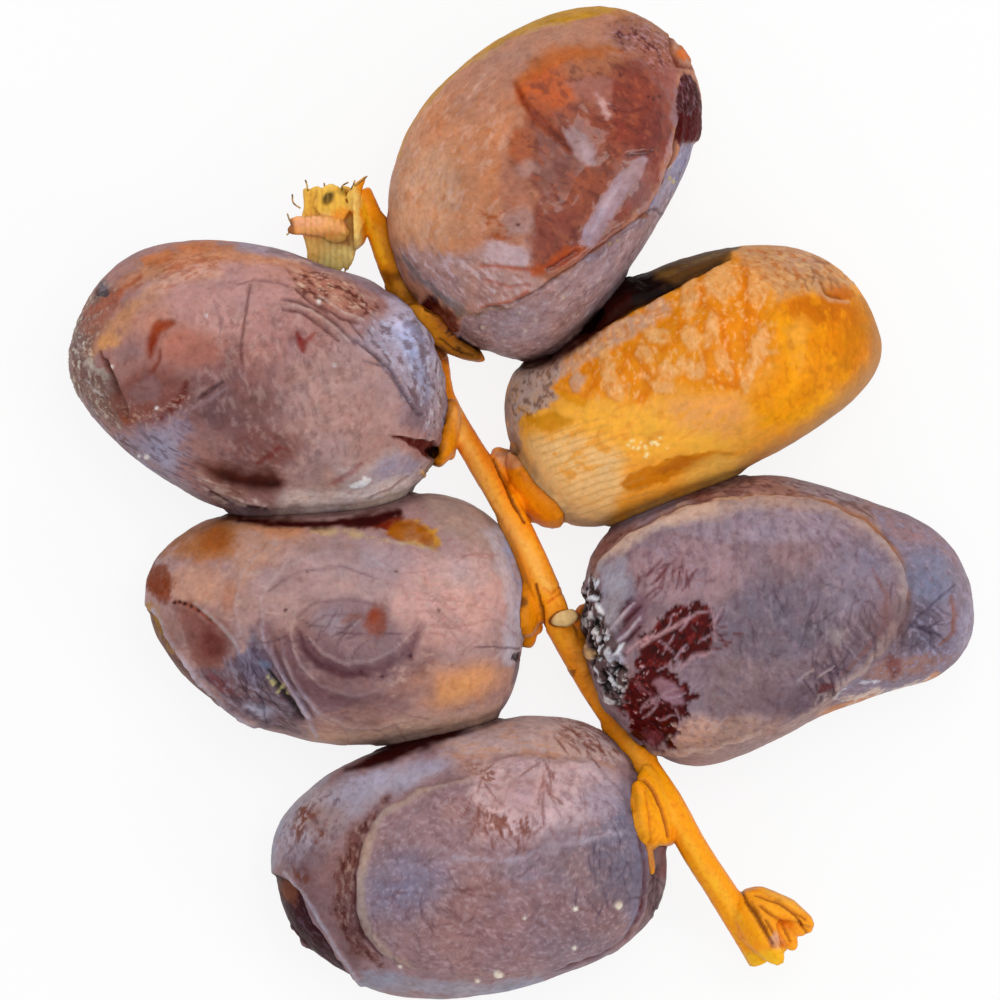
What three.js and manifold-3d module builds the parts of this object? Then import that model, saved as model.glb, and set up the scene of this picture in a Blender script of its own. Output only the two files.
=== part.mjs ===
// A cut strand of ripe dates lying flat: six fruits, each seated in the cap that it grew from, round
// one curved stalk that also carries an empty cap near each end.
// Millimetres, +Z up. X and Y lie in the surface that the fruits rest on. The origin is on that surface,
// under the middle of the whole strand.
import * as THREE from "three";
import { mergeVertices } from "three/addons/utils/BufferGeometryUtils.js";
import Module from "manifold-3d";

const wasm = await Module();
wasm.setup();

// Driving dimensions
const GAP = 0.35; // air between a fruit and whatever it touches
const GROWTH_COAT = 0.85; // how far a growth's skin is taken to reach round each of its corners
const SOFTNESS = 0.5; // how roundly a fruit gives way where something presses on it
const CORE_INSET = 6; // how far in from a fruit's ends its points give way towards
const OVAL_EDGE = [0.78, 1.08]; // where a swelling or hollow fades out, in shares of its radii
const UPPER_SIDE = [-1, 3]; // heights over a fruit's axis between which it gets its swellings
const SEAT_EDGE = 3; // how wide the skin round a cap takes to reach its full relief
const CAP_THICKNESS = 1.5;
const CAP_EDGE = 0.35; // thickness left at a cap's rim
const CAP_LOBES = 3;
const CAP_LOBE = 0.14; // how far a lobe stands out, as a share of the cap's radius
const EMPTY_REACH = 78; // degrees from the back of an empty cap round to its rim
const EMPTY_LOBE = 0.25;
const NECK_RADIUS = 1.2; // the short neck between a cap and the stalk
const NECK_FLARE = 1.15; // how much wider the neck is where it meets the stalk

// Fineness of the surfaces
const FRUIT_RINGS = 26;
const FRUIT_SIDES = 32;
const STALK_STEPS = 56;
const STALK_SIDES = 10;
const CAP_RINGS = 8;
const CAP_SIDES = 18;
const NECK_SIDES = 10;
const SCALE_SIDES = 8;
const SCALE_RINGS = 6;
const SEARCH_STEPS = 24;
const PRESS_STEPS = 12;
const SMALLEST_PUSH = 0.02;
const STALK_SAMPLES = 240;

const SKIN_ROUGHNESS = 0.45;
const STALK_COLOUR = 0xf29a1f;

// Each fruit lies along +x of its own frame, from its cap end to its tip, with its left side at +y.
// base is its cap end in plan and axis the height of its middle line. left, right, top and under are
// half widths and half heights a little way apart from the cap end to the tip. blunt is below 1 at an
// end that is squarer than an ellipse. Each swelling is an oval of skin that has puffed up from the
// flesh, in plan, and each hollow an oval where it has sunk.
// cap says where the cap sits: its bearing from the fruit's inside, in plan and above level, how far
// from the cap end the line of that bearing starts, and the cap's radius.
const FRUITS = [
  {
    name: "date_top",
    colour: 0xa9705a,
    base: [-5.1, 15.9],
    heading: 63.4,
    length: 39.0,
    axis: 12.0,
    left: [17.0, 17.2, 16.9, 16.3, 14.4, 12.6, 11.0],
    right: [16.0, 13.5, 11.9, 11.9, 13.3, 14.3, 14.6],
    top: [12, 12.2, 11.8, 11.6, 11],
    under: [12, 12.4, 12.5, 12.2, 11],
    blunt: [0.82, 0.9],
    cap: { bearing: 223, rise: -3, from: 11, radius: 5.0 },
    swellings: [{ at: [3.4, 33.5], radii: [16.5, 11.5], turn: 62, rise: 0.9 }],
    hollows: [],
  },
  {
    name: "date_left_upper",
    colour: 0x93716e,
    base: [-8.3, 7.1],
    heading: 166.4,
    length: 40.0,
    axis: 11.8,
    left: [14, 13.6, 13.1, 13.3, 11.9, 10.9, 10.6],
    right: [18.0, 16.4, 15.2, 14.7, 15.3, 16.8, 18.4],
    top: [11, 11.6, 11.4, 11.2, 11],
    under: [11, 12, 12.3, 11.8, 11],
    blunt: [0.8, 0.9],
    cap: { bearing: -15, rise: -14, from: 10, radius: 3.6 },
    swellings: [{ at: [-26, 12.5], radii: [17, 10.5], turn: -12, rise: 0.6 }],
    hollows: [{ at: [-30.5, 1.6], radii: [5.5, 1.8], turn: -12, rise: 0.9 }],
  },
  {
    name: "date_right_upper",
    colour: 0xd99433,
    base: [-0.6, 4.3],
    heading: 20.6,
    length: 40.4,
    axis: 9.6,
    left: [14.5, 14.0, 14.0, 13.7, 14.1, 14.3, 13.6],
    right: [14.5, 13.7, 11.3, 9.3, 8.8, 9.3, 9.8],
    top: [9.5, 9.8, 9.7, 10.2, 10],
    under: [9.5, 10, 10.1, 10.0, 9.5],
    blunt: [0.72, 0.8],
    cap: { bearing: 229, rise: 2, from: 8, radius: 4.5 },
    swellings: [{ at: [17.5, 9.2], radii: [20.5, 9.2], turn: 21, rise: 0.7 }],
    hollows: [],
  },
  {
    name: "date_right_lower",
    colour: 0x84656b,
    base: [6.5, -13.9],
    heading: 3.5,
    length: 41.0,
    axis: 10.6,
    left: [20.0, 17.9, 16.3, 15.4, 13.4, 13.5, 13.6],
    right: [16.5, 16.8, 16.9, 16.6, 13.7, 9.5, 9.0, 10.2, 10.3, 9.8],
    top: [10.5, 10.6, 9.8, 9.0, 9.0],
    under: [10.5, 11, 11.1, 10.6, 9.5],
    blunt: [0.82, 0.8],
    cap: { bearing: 195, rise: -22, from: 9, radius: 4.2 },
    swellings: [{ at: [24, -12.8], radii: [17.2, 12.6], turn: -8, rise: 1.5 }],
    hollows: [],
  },
  {
    name: "date_left_lower",
    colour: 0x997372,
    base: [0.2, -13.1],
    heading: 175.6,
    length: 40.0,
    axis: 10.6,
    left: [23.0, 17.4, 14.5, 14.1, 13.6, 12.6, 11.0],
    right: [18.5, 17.0, 14.8, 12.8, 11.7, 11.5, 13.0],
    top: [10.5, 10.8, 10.6, 9.8, 9.5],
    under: [10.5, 11, 11.1, 10.6, 9.5],
    blunt: [0.72, 1.0],
    cap: { bearing: 8, rise: 2, from: 9, radius: 3.7 },
    swellings: [{ at: [-15.5, -13], radii: [17, 11], turn: 0, rise: 0.8 }],
    hollows: [{ at: [-26.2, -22.2], radii: [5.5, 1.3], turn: -52, rise: 0.9 }],
  },
  {
    name: "date_bottom",
    colour: 0x8b6b6e,
    base: [14.8, -34.4],
    heading: 188.4,
    length: 41.3,
    axis: 10.6,
    left: [18.2, 15.8, 14.7, 14.7, 14.8, 13.6, 13.0],
    right: [17.4, 16.2, 14.9, 14.0, 13.3, 13.6, 15.5],
    top: [10.5, 10.8, 10.6, 10.4, 10],
    under: [10.5, 11, 11.1, 10.8, 10],
    blunt: [0.72, 0.86],
    cap: { bearing: 21, rise: 20, from: 9, radius: 4.4 },
    swellings: [{ at: [-1.6, -39.2], radii: [15, 10.2], turn: 8, rise: 1.1 }],
    hollows: [{ at: [-19.5, -38.5], radii: [1.6, 6.5], turn: 12, rise: 0.7 }],
  },
];

// The stalk's middle line from its torn upper end to its cut lower end, as x, y, z and radius.
const STALK_PATH = [
  [-16.9, 32.4, 10.5, 1.05],
  [-15.5, 29.3, 10.6, 1.05],
  [-14.3, 25.8, 10.2, 1.15],
  [-13.1, 22.9, 9.4, 1.2],
  [-11.2, 19.8, 8.4, 1.15],
  [-9.2, 16.8, 7.6, 1.1],
  [-8.7, 13.8, 7.2, 1.1],
  [-8.3, 11.2, 7.2, 1.1],
  [-7.1, 8.6, 7.8, 1.15],
  [-5.4, 5.6, 8.9, 1.25],
  [-3.4, 2.4, 10.6, 1.35],
  [-1.7, -0.5, 12.2, 1.35],
  [0.0, -3.5, 13.2, 1.35],
  [2.0, -8.2, 13.4, 1.5],
  [3.1, -11.2, 12.6, 1.6],
  [4.9, -15.2, 10.8, 1.25],
  [7.4, -19.8, 8.8, 1.15],
  [10.2, -24.1, 9.6, 1.1],
  [12.8, -27.6, 12.0, 1.3],
  [15.4, -31.6, 13.4, 1.4],
  [18.1, -36.6, 12.4, 1.45],
  [20.9, -40.9, 10.8, 1.5],
  [23.3, -44.8, 9.4, 1.5],
  [25.4, -48.2, 8.2, 1.6],
];

// The two caps whose fruit has dropped: where each one's back meets the stalk, the way it opens, the
// radius and depth of the round that it would hold, and the turn of its lobes.
const EMPTY_CAPS = [
  { back: [-17.8, 29.0, 10.6], bearing: 178, rise: 4, radius: 3.6, depth: 4.6, turn: 60 },
  { back: [24.4, -43.2, 9.8], bearing: -42, rise: -4, radius: 2.8, depth: 5.2, turn: 10 },
];

// What is left of a side shoot in the torn cap, and the little scale on the stalk's knot.
const STUB = { from: [-17.2, 29.0, 10.6], to: [-24.4, 29.5, 11.4], radius: 1.0 };
const SCALE = { at: [4.5, -12.4, 13.4], radii: [1.5, 0.75, 1.0], turn: 8 };

const degrees = THREE.MathUtils.degToRad;

// Value of a row of evenly spaced stations at share 0 to 1 of its length.
const stationCurve = (stations) => {
  const curve = new THREE.SplineCurve(stations.map((value, i) => new THREE.Vector2(i, value)));
  return (share) => curve.getPoint(THREE.MathUtils.clamp(share, 0, 1)).y;
};

// Unit vector at a bearing in plan and a rise above level.
const pointing = (bearing, rise) =>
  new THREE.Vector3(
    Math.cos(degrees(bearing)) * Math.cos(degrees(rise)),
    Math.sin(degrees(bearing)) * Math.cos(degrees(rise)),
    Math.sin(degrees(rise)),
  );

// 1 inside an oval in plan, 0 outside, with an edge about a third of its radius wide.
const ovalShare = (oval, point) => {
  const turn = degrees(oval.turn);
  const x = point.x - oval.at[0];
  const y = point.y - oval.at[1];
  const along = (x * Math.cos(turn) + y * Math.sin(turn)) / oval.radii[0];
  const across = (y * Math.cos(turn) - x * Math.sin(turn)) / oval.radii[1];
  return 1 - THREE.MathUtils.smoothstep(Math.hypot(along, across), ...OVAL_EDGE);
};

// One fruit's shape: a round form about its own axis, with what swells or sinks on its upper side.
class Fruit {
  constructor(spec) {
    this.spec = spec;
    this.frame = new THREE.Object3D();
    this.frame.position.set(spec.base[0], spec.base[1], spec.axis);
    this.frame.rotation.z = degrees(spec.heading);
    this.frame.updateMatrixWorld();
    this.widths = {};
    for (const side of ["left", "right", "top", "under"]) this.widths[side] = stationCurve(spec[side]);
  }

  toWorld(point) {
    return this.frame.localToWorld(point.clone());
  }

  toLocal(point) {
    return this.frame.worldToLocal(point.clone());
  }

  // Half width and half height of the ring at an angle from the cap end, on the given sides.
  ring(angle, isLeft, isTop, margin) {
    const share = angle / Math.PI;
    const blunt = THREE.MathUtils.lerp(this.spec.blunt[0], this.spec.blunt[1], share);
    const size = Math.pow(Math.sin(angle), blunt);
    return {
      wide: (this.widths[isLeft ? "left" : "right"](share) + margin) * size,
      high: (this.widths[isTop ? "top" : "under"](share) + margin) * size,
    };
  }

  // Point of the smooth form for a point of the unit ball, whose own +y pole is the cap end.
  formPoint(ball) {
    const angle = Math.acos(THREE.MathUtils.clamp(ball.y, -1, 1));
    const around = Math.hypot(ball.x, ball.z) || 1;
    const { wide, high } = this.ring(angle, ball.x > 0, ball.z > 0, 0);
    return new THREE.Vector3(
      (this.spec.length / 2) * (1 - ball.y),
      (wide * ball.x) / around,
      (high * ball.z) / around,
    );
  }

  // Under 1 inside the form grown by a margin, and over 1 outside it. The point is in the fruit's frame.
  reach(point, margin) {
    const half = this.spec.length / 2;
    const cosine = (half - point.x) / (half + margin);
    if (Math.abs(cosine) >= 1) return 1 + Math.abs(cosine);
    const { wide, high } = this.ring(Math.acos(cosine), point.y > 0, point.z > 0, margin);
    return Math.hypot(point.y / wide, point.z / high);
  }

  // How far the skin stands off the smooth form at a world point, nothing under the cap.
  relief(world) {
    const local = this.toLocal(world);
    const { radius } = this.spec.cap;
    const upper = THREE.MathUtils.smoothstep(local.z, ...UPPER_SIDE);
    const seat = this.capPole.distanceTo(world);
    const free = THREE.MathUtils.smoothstep(seat, radius, radius + SEAT_EDGE);
    let height = 0;
    for (const swelling of this.spec.swellings) height += swelling.rise * ovalShare(swelling, world);
    for (const hollow of this.spec.hollows) height -= hollow.rise * ovalShare(hollow, world);
    return height * upper * free;
  }

  // Distance from a point in the fruit to the skin in a direction, both in world space.
  depth(from, direction, margin) {
    let inside = -this.spec.length / 4;
    let outside = this.spec.length;
    for (let i = 0; i < SEARCH_STEPS; i += 1) {
      const middle = (inside + outside) / 2;
      const point = this.toLocal(from.clone().addScaledVector(direction, middle));
      if (this.reach(point, margin) < 1) inside = middle;
      else outside = middle;
    }
    return inside;
  }

  // The line through the middle of the cap, from the fruit's inside out.
  get capLine() {
    const { bearing, rise, from } = this.spec.cap;
    return { from: this.toWorld(new THREE.Vector3(from, 0, 0)), direction: pointing(bearing, rise) };
  }

  get capPole() {
    if (!this.pole) {
      const { from, direction } = this.capLine;
      this.pole = from.clone().addScaledVector(direction, this.depth(from, direction, 0));
    }
    return this.pole;
  }

  // How clear a world point is of this fruit's skin, below 0 inside it.
  clearance(world) {
    const local = this.toLocal(world);
    const swell = Math.max(0, this.relief(world));
    const size = Math.hypot(local.y, local.z) || 1;
    return size * (1 - 1 / this.reach(local, swell)) || size;
  }
}

// The stalk's middle line with its radius, as samples for the tube and for what presses on a fruit.
const stalkLine = new THREE.CatmullRomCurve3(
  STALK_PATH.map(([x, y, z]) => new THREE.Vector3(x, y, z)),
  false,
  "centripetal",
);
const stalkRadius = stationCurve(STALK_PATH.map((point) => point[3]));
const stalkSamples = Array.from({ length: STALK_SAMPLES + 1 }, (_, i) => ({
  at: stalkLine.getPoint(i / STALK_SAMPLES),
  radius: stalkRadius(i / STALK_SAMPLES),
}));

// How clear a point is of the nearest of many small balls.
const clearanceOf = (balls) => (world) => {
  let clear = Infinity;
  for (const { at, radius } of balls) clear = Math.min(clear, at.distanceTo(world) - radius);
  return clear;
};

// Takes a fruit's point back towards the fruit's inside until it is clear of everything in its way.
const giveWay = (point, inside, clearances) => {
  const direction = inside.clone().sub(point).normalize();
  const moved = point.clone();
  for (let i = 0; i < PRESS_STEPS; i += 1) {
    const clear = Math.min(...clearances.map((clearance) => clearance(moved))) - GAP;
    const push = SOFTNESS * Math.log1p(Math.exp(-clear / SOFTNESS));
    if (i > 0 && clear > 0) break;
    if (push > SMALLEST_PUSH) moved.addScaledVector(direction, push);
  }
  return moved;
};

// A ball's vertices moved one by one, with the seam and the poles joined.
const shapedBall = (sides, rings, shape) => {
  const ball = new THREE.SphereGeometry(1, sides, rings);
  ball.deleteAttribute("normal");
  ball.deleteAttribute("uv");
  const geometry = mergeVertices(ball);
  const position = geometry.attributes.position;
  const vertex = new THREE.Vector3();
  for (let i = 0; i < position.count; i += 1) {
    const made = shape(vertex.fromBufferAttribute(position, i));
    position.setXYZ(i, made.x, made.y, made.z);
  }
  geometry.computeVertexNormals();
  return geometry;
};

const fruitGeometry = (fruit, clearances) =>
  shapedBall(FRUIT_SIDES, FRUIT_RINGS, (ball) => {
    const form = fruit.formPoint(ball);
    const world = fruit.toWorld(form);
    const along = THREE.MathUtils.clamp(form.x, CORE_INSET, fruit.spec.length - CORE_INSET);
    const inside = fruit.toWorld(new THREE.Vector3(along, 0, 0));
    const outward = world.clone().sub(inside).normalize();
    world.addScaledVector(outward, fruit.relief(world));
    const pressed = giveWay(world, inside, clearances);
    pressed.z = Math.max(pressed.z, 0);
    return fruit.toLocal(pressed);
  });

// Two directions square to one, so that aside, direction and upward make a right-handed set.
const across = (direction) => {
  const aside = direction.clone().cross(new THREE.Vector3(0, 0, 1)).normalize();
  return { aside, upward: aside.clone().cross(direction) };
};

// A lobed cap over a seat. depthAt gives the seat's height over the plane through from.
const capGeometry = (from, direction, turn, radius, depthAt) => {
  const { aside, upward } = across(direction);
  return shapedBall(CAP_SIDES, CAP_RINGS, (ball) => {
    const share = Math.hypot(ball.x, ball.z);
    const angle = Math.atan2(ball.z, ball.x);
    const lobe = 1 + CAP_LOBE * Math.cos(CAP_LOBES * (angle - degrees(turn)));
    const out = share * radius * lobe;
    const point = from
      .clone()
      .addScaledVector(aside, out * Math.cos(angle))
      .addScaledVector(upward, out * Math.sin(angle));
    const wall = CAP_EDGE + (CAP_THICKNESS - CAP_EDGE) * Math.abs(ball.y);
    const thickness = ball.y > 0 ? wall : 0;
    return point.addScaledVector(direction, depthAt(point, direction) + GAP + thickness);
  });
};

const fruitCap = (fruit) => {
  const { from, direction } = fruit.capLine;
  return capGeometry(from, direction, fruit.spec.heading, fruit.spec.cap.radius, (point, way) =>
    fruit.depth(point, way, 0),
  );
};

// A lobed cup round a ball that is longer or shorter along the way the cup opens.
const emptyCap = ({ back, bearing, rise, radius, depth, turn }) => {
  const backward = pointing(bearing, rise).negate();
  const { aside, upward } = across(backward);
  const middle = new THREE.Vector3(...back).addScaledVector(backward, -depth);
  return shapedBall(CAP_SIDES, CAP_RINGS, (ball) => {
    const angle = Math.atan2(ball.z, ball.x);
    const lobe = 1 + EMPTY_LOBE * Math.cos(CAP_LOBES * (angle - degrees(turn)));
    const bend = Math.hypot(ball.x, ball.z) * lobe * degrees(EMPTY_REACH);
    const wall = CAP_EDGE + (CAP_THICKNESS - CAP_EDGE) * Math.abs(ball.y);
    const size = 1 + (ball.y > 0 ? wall / radius : 0);
    return middle
      .clone()
      .addScaledVector(aside, size * radius * Math.sin(bend) * Math.cos(angle))
      .addScaledVector(upward, size * radius * Math.sin(bend) * Math.sin(angle))
      .addScaledVector(backward, size * depth * Math.cos(bend));
  });
};

// A short round neck between two points.
const neckGeometry = (start, end, radius) => {
  const length = start.distanceTo(end);
  const neck = new THREE.CylinderGeometry(radius, radius * NECK_FLARE, length, NECK_SIDES, 2);
  const upright = new THREE.Vector3(0, 1, 0);
  const direction = end.clone().sub(start).normalize();
  neck.applyQuaternion(new THREE.Quaternion().setFromUnitVectors(upright, direction));
  neck.translate(...start.clone().add(end).multiplyScalar(0.5));
  return neck;
};

const scaleGeometry = () => {
  const radii = new THREE.Vector3(...SCALE.radii);
  const scale = shapedBall(SCALE_SIDES, SCALE_RINGS, (ball) => ball.multiply(radii));
  scale.rotateZ(degrees(SCALE.turn));
  return scale.translate(...SCALE.at);
};

// A straight cylinder bent along the stalk's line and given its width at each step.
const stalkGeometry = () => {
  const tube = new THREE.CylinderGeometry(1, 1, 1, STALK_SIDES, STALK_STEPS);
  const frames = stalkLine.computeFrenetFrames(STALK_STEPS, false);
  const position = tube.attributes.position;
  for (let i = 0; i < position.count; i += 1) {
    const step = Math.round((0.5 - position.getY(i)) * STALK_STEPS);
    const radius = stalkRadius(stalkLine.getUtoTmapping(step / STALK_STEPS));
    const centre = stalkLine.getPointAt(step / STALK_STEPS);
    centre.addScaledVector(frames.normals[step], radius * position.getX(i));
    centre.addScaledVector(frames.binormals[step], radius * position.getZ(i));
    position.setXYZ(i, centre.x, centre.y, centre.z);
  }
  return tube;
};

// A closed geometry as a solid, and a solid as a geometry.
const solidOf = (geometry) => {
  const plain = geometry.clone();
  plain.deleteAttribute("normal");
  plain.deleteAttribute("uv");
  const merged = mergeVertices(plain, 1e-4);
  return new wasm.Manifold(
    new wasm.Mesh({
      numProp: 3,
      vertProperties: merged.attributes.position.array,
      triVerts: new Uint32Array(merged.index.array),
    }),
  );
};

const geometryOf = (solid) => {
  const { vertProperties, triVerts } = solid.getMesh();
  const geometry = new THREE.BufferGeometry();
  geometry.setAttribute("position", new THREE.BufferAttribute(vertProperties, 3));
  geometry.setIndex(new THREE.BufferAttribute(triVerts, 1));
  geometry.computeVertexNormals();
  return geometry;
};

const fruits = FRUITS.map((spec) => new Fruit(spec));

const nearestOnStalk = (point) =>
  stalkSamples.reduce((best, sample) =>
    sample.at.distanceTo(point) < best.at.distanceTo(point) ? sample : best,
  ).at;

// What the stalk carries: a cap and its neck for each fruit, then the empty caps and the small rest.
const growths = fruits.map((fruit) => {
  const { direction } = fruit.capLine;
  const root = fruit.capPole.clone().addScaledVector(direction, GAP + CAP_THICKNESS / 2);
  const neck = neckGeometry(nearestOnStalk(root), root, NECK_RADIUS);
  return { owner: fruit, geometries: [fruitCap(fruit), neck] };
});
for (const cap of EMPTY_CAPS) {
  const back = new THREE.Vector3(...cap.back);
  const neck = neckGeometry(nearestOnStalk(back), back, NECK_RADIUS);
  growths.push({ geometries: [emptyCap(cap), neck] });
}
const [stubFrom, stubTo] = [STUB.from, STUB.to].map((point) => new THREE.Vector3(...point));
growths.push({ geometries: [neckGeometry(stubTo, stubFrom, STUB.radius), scaleGeometry()] });

const strandGeometry = () => {
  let strand = solidOf(stalkGeometry());
  for (const { geometries } of growths)
    for (const geometry of geometries) strand = strand.add(solidOf(geometry));
  return geometryOf(strand);
};

// A fruit keeps clear of the stalk and of every growth on it but its own cap.
const strandClearance = (fruit) => {
  const balls = [...stalkSamples];
  for (const { owner, geometries } of growths)
    for (const { attributes } of owner === fruit ? geometries.slice(1) : geometries)
      for (let i = 0; i < attributes.position.count; i += 1) {
        const at = new THREE.Vector3().fromBufferAttribute(attributes.position, i);
        balls.push({ at, radius: owner === fruit ? GROWTH_COAT / 2 : GROWTH_COAT });
      }
  return clearanceOf(balls);
};

const group = new THREE.Group();

const stalkMaterial = new THREE.MeshStandardMaterial({ color: STALK_COLOUR, roughness: 0.4 });
const strand = new THREE.Mesh(strandGeometry(), stalkMaterial);
strand.name = "strand";
group.add(strand);

// Each fruit also gives way to the fruits that were laid before it.
const laid = [];
for (const fruit of fruits) {
  const material = new THREE.MeshStandardMaterial({
    color: fruit.spec.colour,
    roughness: SKIN_ROUGHNESS,
  });
  const geometry = fruitGeometry(fruit, [strandClearance(fruit), ...laid]);
  const mesh = new THREE.Mesh(geometry, material);
  mesh.name = fruit.spec.name;
  mesh.position.copy(fruit.frame.position);
  mesh.rotation.copy(fruit.frame.rotation);
  group.add(mesh);
  laid.push((world) => fruit.clearance(world));
}

const bounds = new THREE.Box3().setFromObject(group, true);
const middle = bounds.getCenter(new THREE.Vector3());
group.position.set(-middle.x, -middle.y, -bounds.min.z);

export default group;
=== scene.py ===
# A cut strand of ripe dates lying on a pale table, seen from straight above.
# Metres, +Z up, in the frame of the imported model. Marks on the skins are placed and sized in chart steps.
import math

import bmesh
import bpy
import numpy as np
from mathutils import Matrix, Vector
from mathutils.bvhtree import BVHTree


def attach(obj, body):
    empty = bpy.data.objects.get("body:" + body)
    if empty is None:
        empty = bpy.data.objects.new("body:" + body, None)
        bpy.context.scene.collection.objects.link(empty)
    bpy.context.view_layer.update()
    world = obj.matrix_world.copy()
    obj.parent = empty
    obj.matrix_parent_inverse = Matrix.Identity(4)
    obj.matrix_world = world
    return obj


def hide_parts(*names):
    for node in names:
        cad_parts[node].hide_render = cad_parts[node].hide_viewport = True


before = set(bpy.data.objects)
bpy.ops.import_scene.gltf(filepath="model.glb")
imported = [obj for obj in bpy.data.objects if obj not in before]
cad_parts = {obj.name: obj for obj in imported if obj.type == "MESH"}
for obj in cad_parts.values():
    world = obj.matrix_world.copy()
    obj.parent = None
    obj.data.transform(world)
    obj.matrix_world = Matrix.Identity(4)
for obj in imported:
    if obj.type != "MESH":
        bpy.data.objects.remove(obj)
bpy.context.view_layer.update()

MM = 0.001
WHITE = (1, 1, 1, 1)

# Camera
VIEW_MIDDLE = (-2.263 * MM, 0.336 * MM)
VIEW_WIDTH = 105 * MM
VIEW_LEVEL = 11 * MM  # the height at which the view is that wide
EYE_DISTANCE = 2.0
EYE_NEAREST = 0.01
EYE_FARTHEST = 10
SENSOR = 36.0

# Table
TABLE_SIZE = 3.0
TABLE_LEVEL = -0.05 * MM
TABLE_PAINT = (0.95, 0.95, 0.95, 1)
TABLE_GLOW = 0.86

# Light, in shares of what makes a level white surface just white
SKY_STRENGTH = 0.58
LAMPS = {  # share, width and place
    "key": (0.26, 0.32, (0.11, 0.13, 0.6)),
    "side": (0.11, 0.3, (0.52, -0.23, 0.4)),
    "window": (0.12, 1.2, (-0.5, 0.6, 0.5)),
}
HAZE = 0.006  # light that the skin's own faint shine adds to every colour
DARKEST = 0.001

# Charts, on which marks are placed x to the right and y down from the upper left corner
STALK_CHART = 0.105  # millimetres in a step of the chart over the whole strand
FINER = 3.6  # how many steps of a fruit's chart make one of those
CHART_STEP = STALK_CHART / FINER * MM
STALK_STEP = STALK_CHART * MM
STALK_CORNER = (-54.76, 52.84)
CORNERS = {  # millimetres in the frame
    "date_top": (-15.91, 52.84),
    "date_left_upper": (-48.46, 28.69),
    "date_right_upper": (-3.31, 28.69),
    "date_right_lower": (5.09, 4.54),
    "date_left_lower": (-41.11, 2.44),
    "date_bottom": (-27.46, -20.66),
}

# Fineness of the skins, with finer faces on the side that faces up
WELD = 0.01 * MM
JOIN_ANGLE = 70  # degrees up to which two triangles are joined before the form is rounded
ROUND_LEVELS = 2
FINE_CUTS = 2
FINE_SIDE = -0.05
EASING = 8
EASE = 0.5
PLUMP = 0.1 * MM

# Fineness of the stalk, whose torn end is cut off at an upright plane and remade
STALK_WELD = 0.001 * MM
STALK_VOXEL = 0.2 * MM
STALK_EASING = 5
TORN_EDGE = -17.6 * MM
LUMP_CUTS = 3

# Ribs along the stalk
STALK_TURN = -58  # degrees in plan
RIB_SQUEEZE = 0.09
RIB_WIDTH = 0.8 * MM
RIB_HEIGHT = 0.05 * MM
RIB_TONE = 0.16
BARK_STIR = 0.6
BARK_CREASE = (-0.8, 1.6)  # steps from its edge between which a crease in the bark fades out

# Where skins nearly touch they are pressed together, and painted shade darkens them towards the touch
PRESS_REACH = 0.9 * MM
PRESS_FULL = 0.6  # share of the reach within which the press is full
OVERLAP = 0.03 * MM
SHADE_REACH = 2.4 * MM
SHADE_CURVE = 1.6

# Grain, a random field through space, in layers that are each half as large as the last
CELLS = 256
FIELD_REACH = 1.5  # brings the field to about -1 to 1
LAYER_SHIFT = 17.3  # by which each layer is moved from the last
FOLD_SHIFT = 31.7  # the same for folds
GRAINS = {  # shift through the field, size in millimetres, layers, and strength that each keeps
    "broad": (0, 6, 3, 0.5),
    "middling": (0.03, 2.2, 3, 0.5),
    "fine": (0.07, 0.9, 3, 0.7),
    "edges": (0.11, 2.2, 3, 0.5),
    "sway across": (0.13, 5, 3, 0.7),
    "sway down": (0.17, 5, 3, 0.7),
    "seams": (0.23, 3.2, 3, 0.5),
    "cracked parts": (0.29, 4, 2, 0.5),
    "weave": (0.31, 2.2, 4, 0.92),
    "cracks": (0.37, 1.6, 3, 0.6),
    "drift": (0.41, 8, 4, 0.65),
}
CRINKLE_SHIFT = 0.19

# How strongly the grain shows in the skins
UPPER_SIDE = (-0.45, -0.02)  # how far up the normals point where marks begin and where they are full
BLOTCH = 0.35
FINE_TEAR = 0.9
EDGE_STIR = 0.2 * MM
SWAY = 1.4  # millimetres by which the marks' outlines wander
CREASE_STIR = 3
CREASE_SOFT = 4
BEND = 16  # degrees by which a wisp strays at each of its bends
WISP_WIDTHS = (0.5, 1.2, 1, 0.4)
CRACK_RELIEF = 0.6
WEAVE_TONE = 0.46
SEAM_TONE = 0.10
DRIFT_TONE = 0.22
DRIFT_TINT = (1.0, 0.1, -1.0)
VEIN_TINT = (0.78, 0.5, 0.44)

# Fibres at the torn end
FIBRE_RADIUS = 0.09 * MM
FIBRE_BEND = 0.9 * MM
FIBRE_WAVE = 1.5 * MM
FIBRE_POINTS = 9
FIBRE_SIDES = 6


def paint(red, green, blue):
    """A display colour, 0 to 255, as scene-linear numbers by the usual display curve."""
    share = np.array([red, green, blue], float) / 255
    linear = np.where(share <= 0.04045, share / 12.92, ((share + 0.055) / 1.055) ** 2.4)
    return np.maximum(linear - HAZE, DARKEST)


def smooth(low, high, value):
    """Goes softly from 0 at low to 1 at high, and stays so beyond them."""
    share = np.clip((value - low) / (high - low), 0, 1)
    return share * share * (3 - 2 * share)


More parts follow.
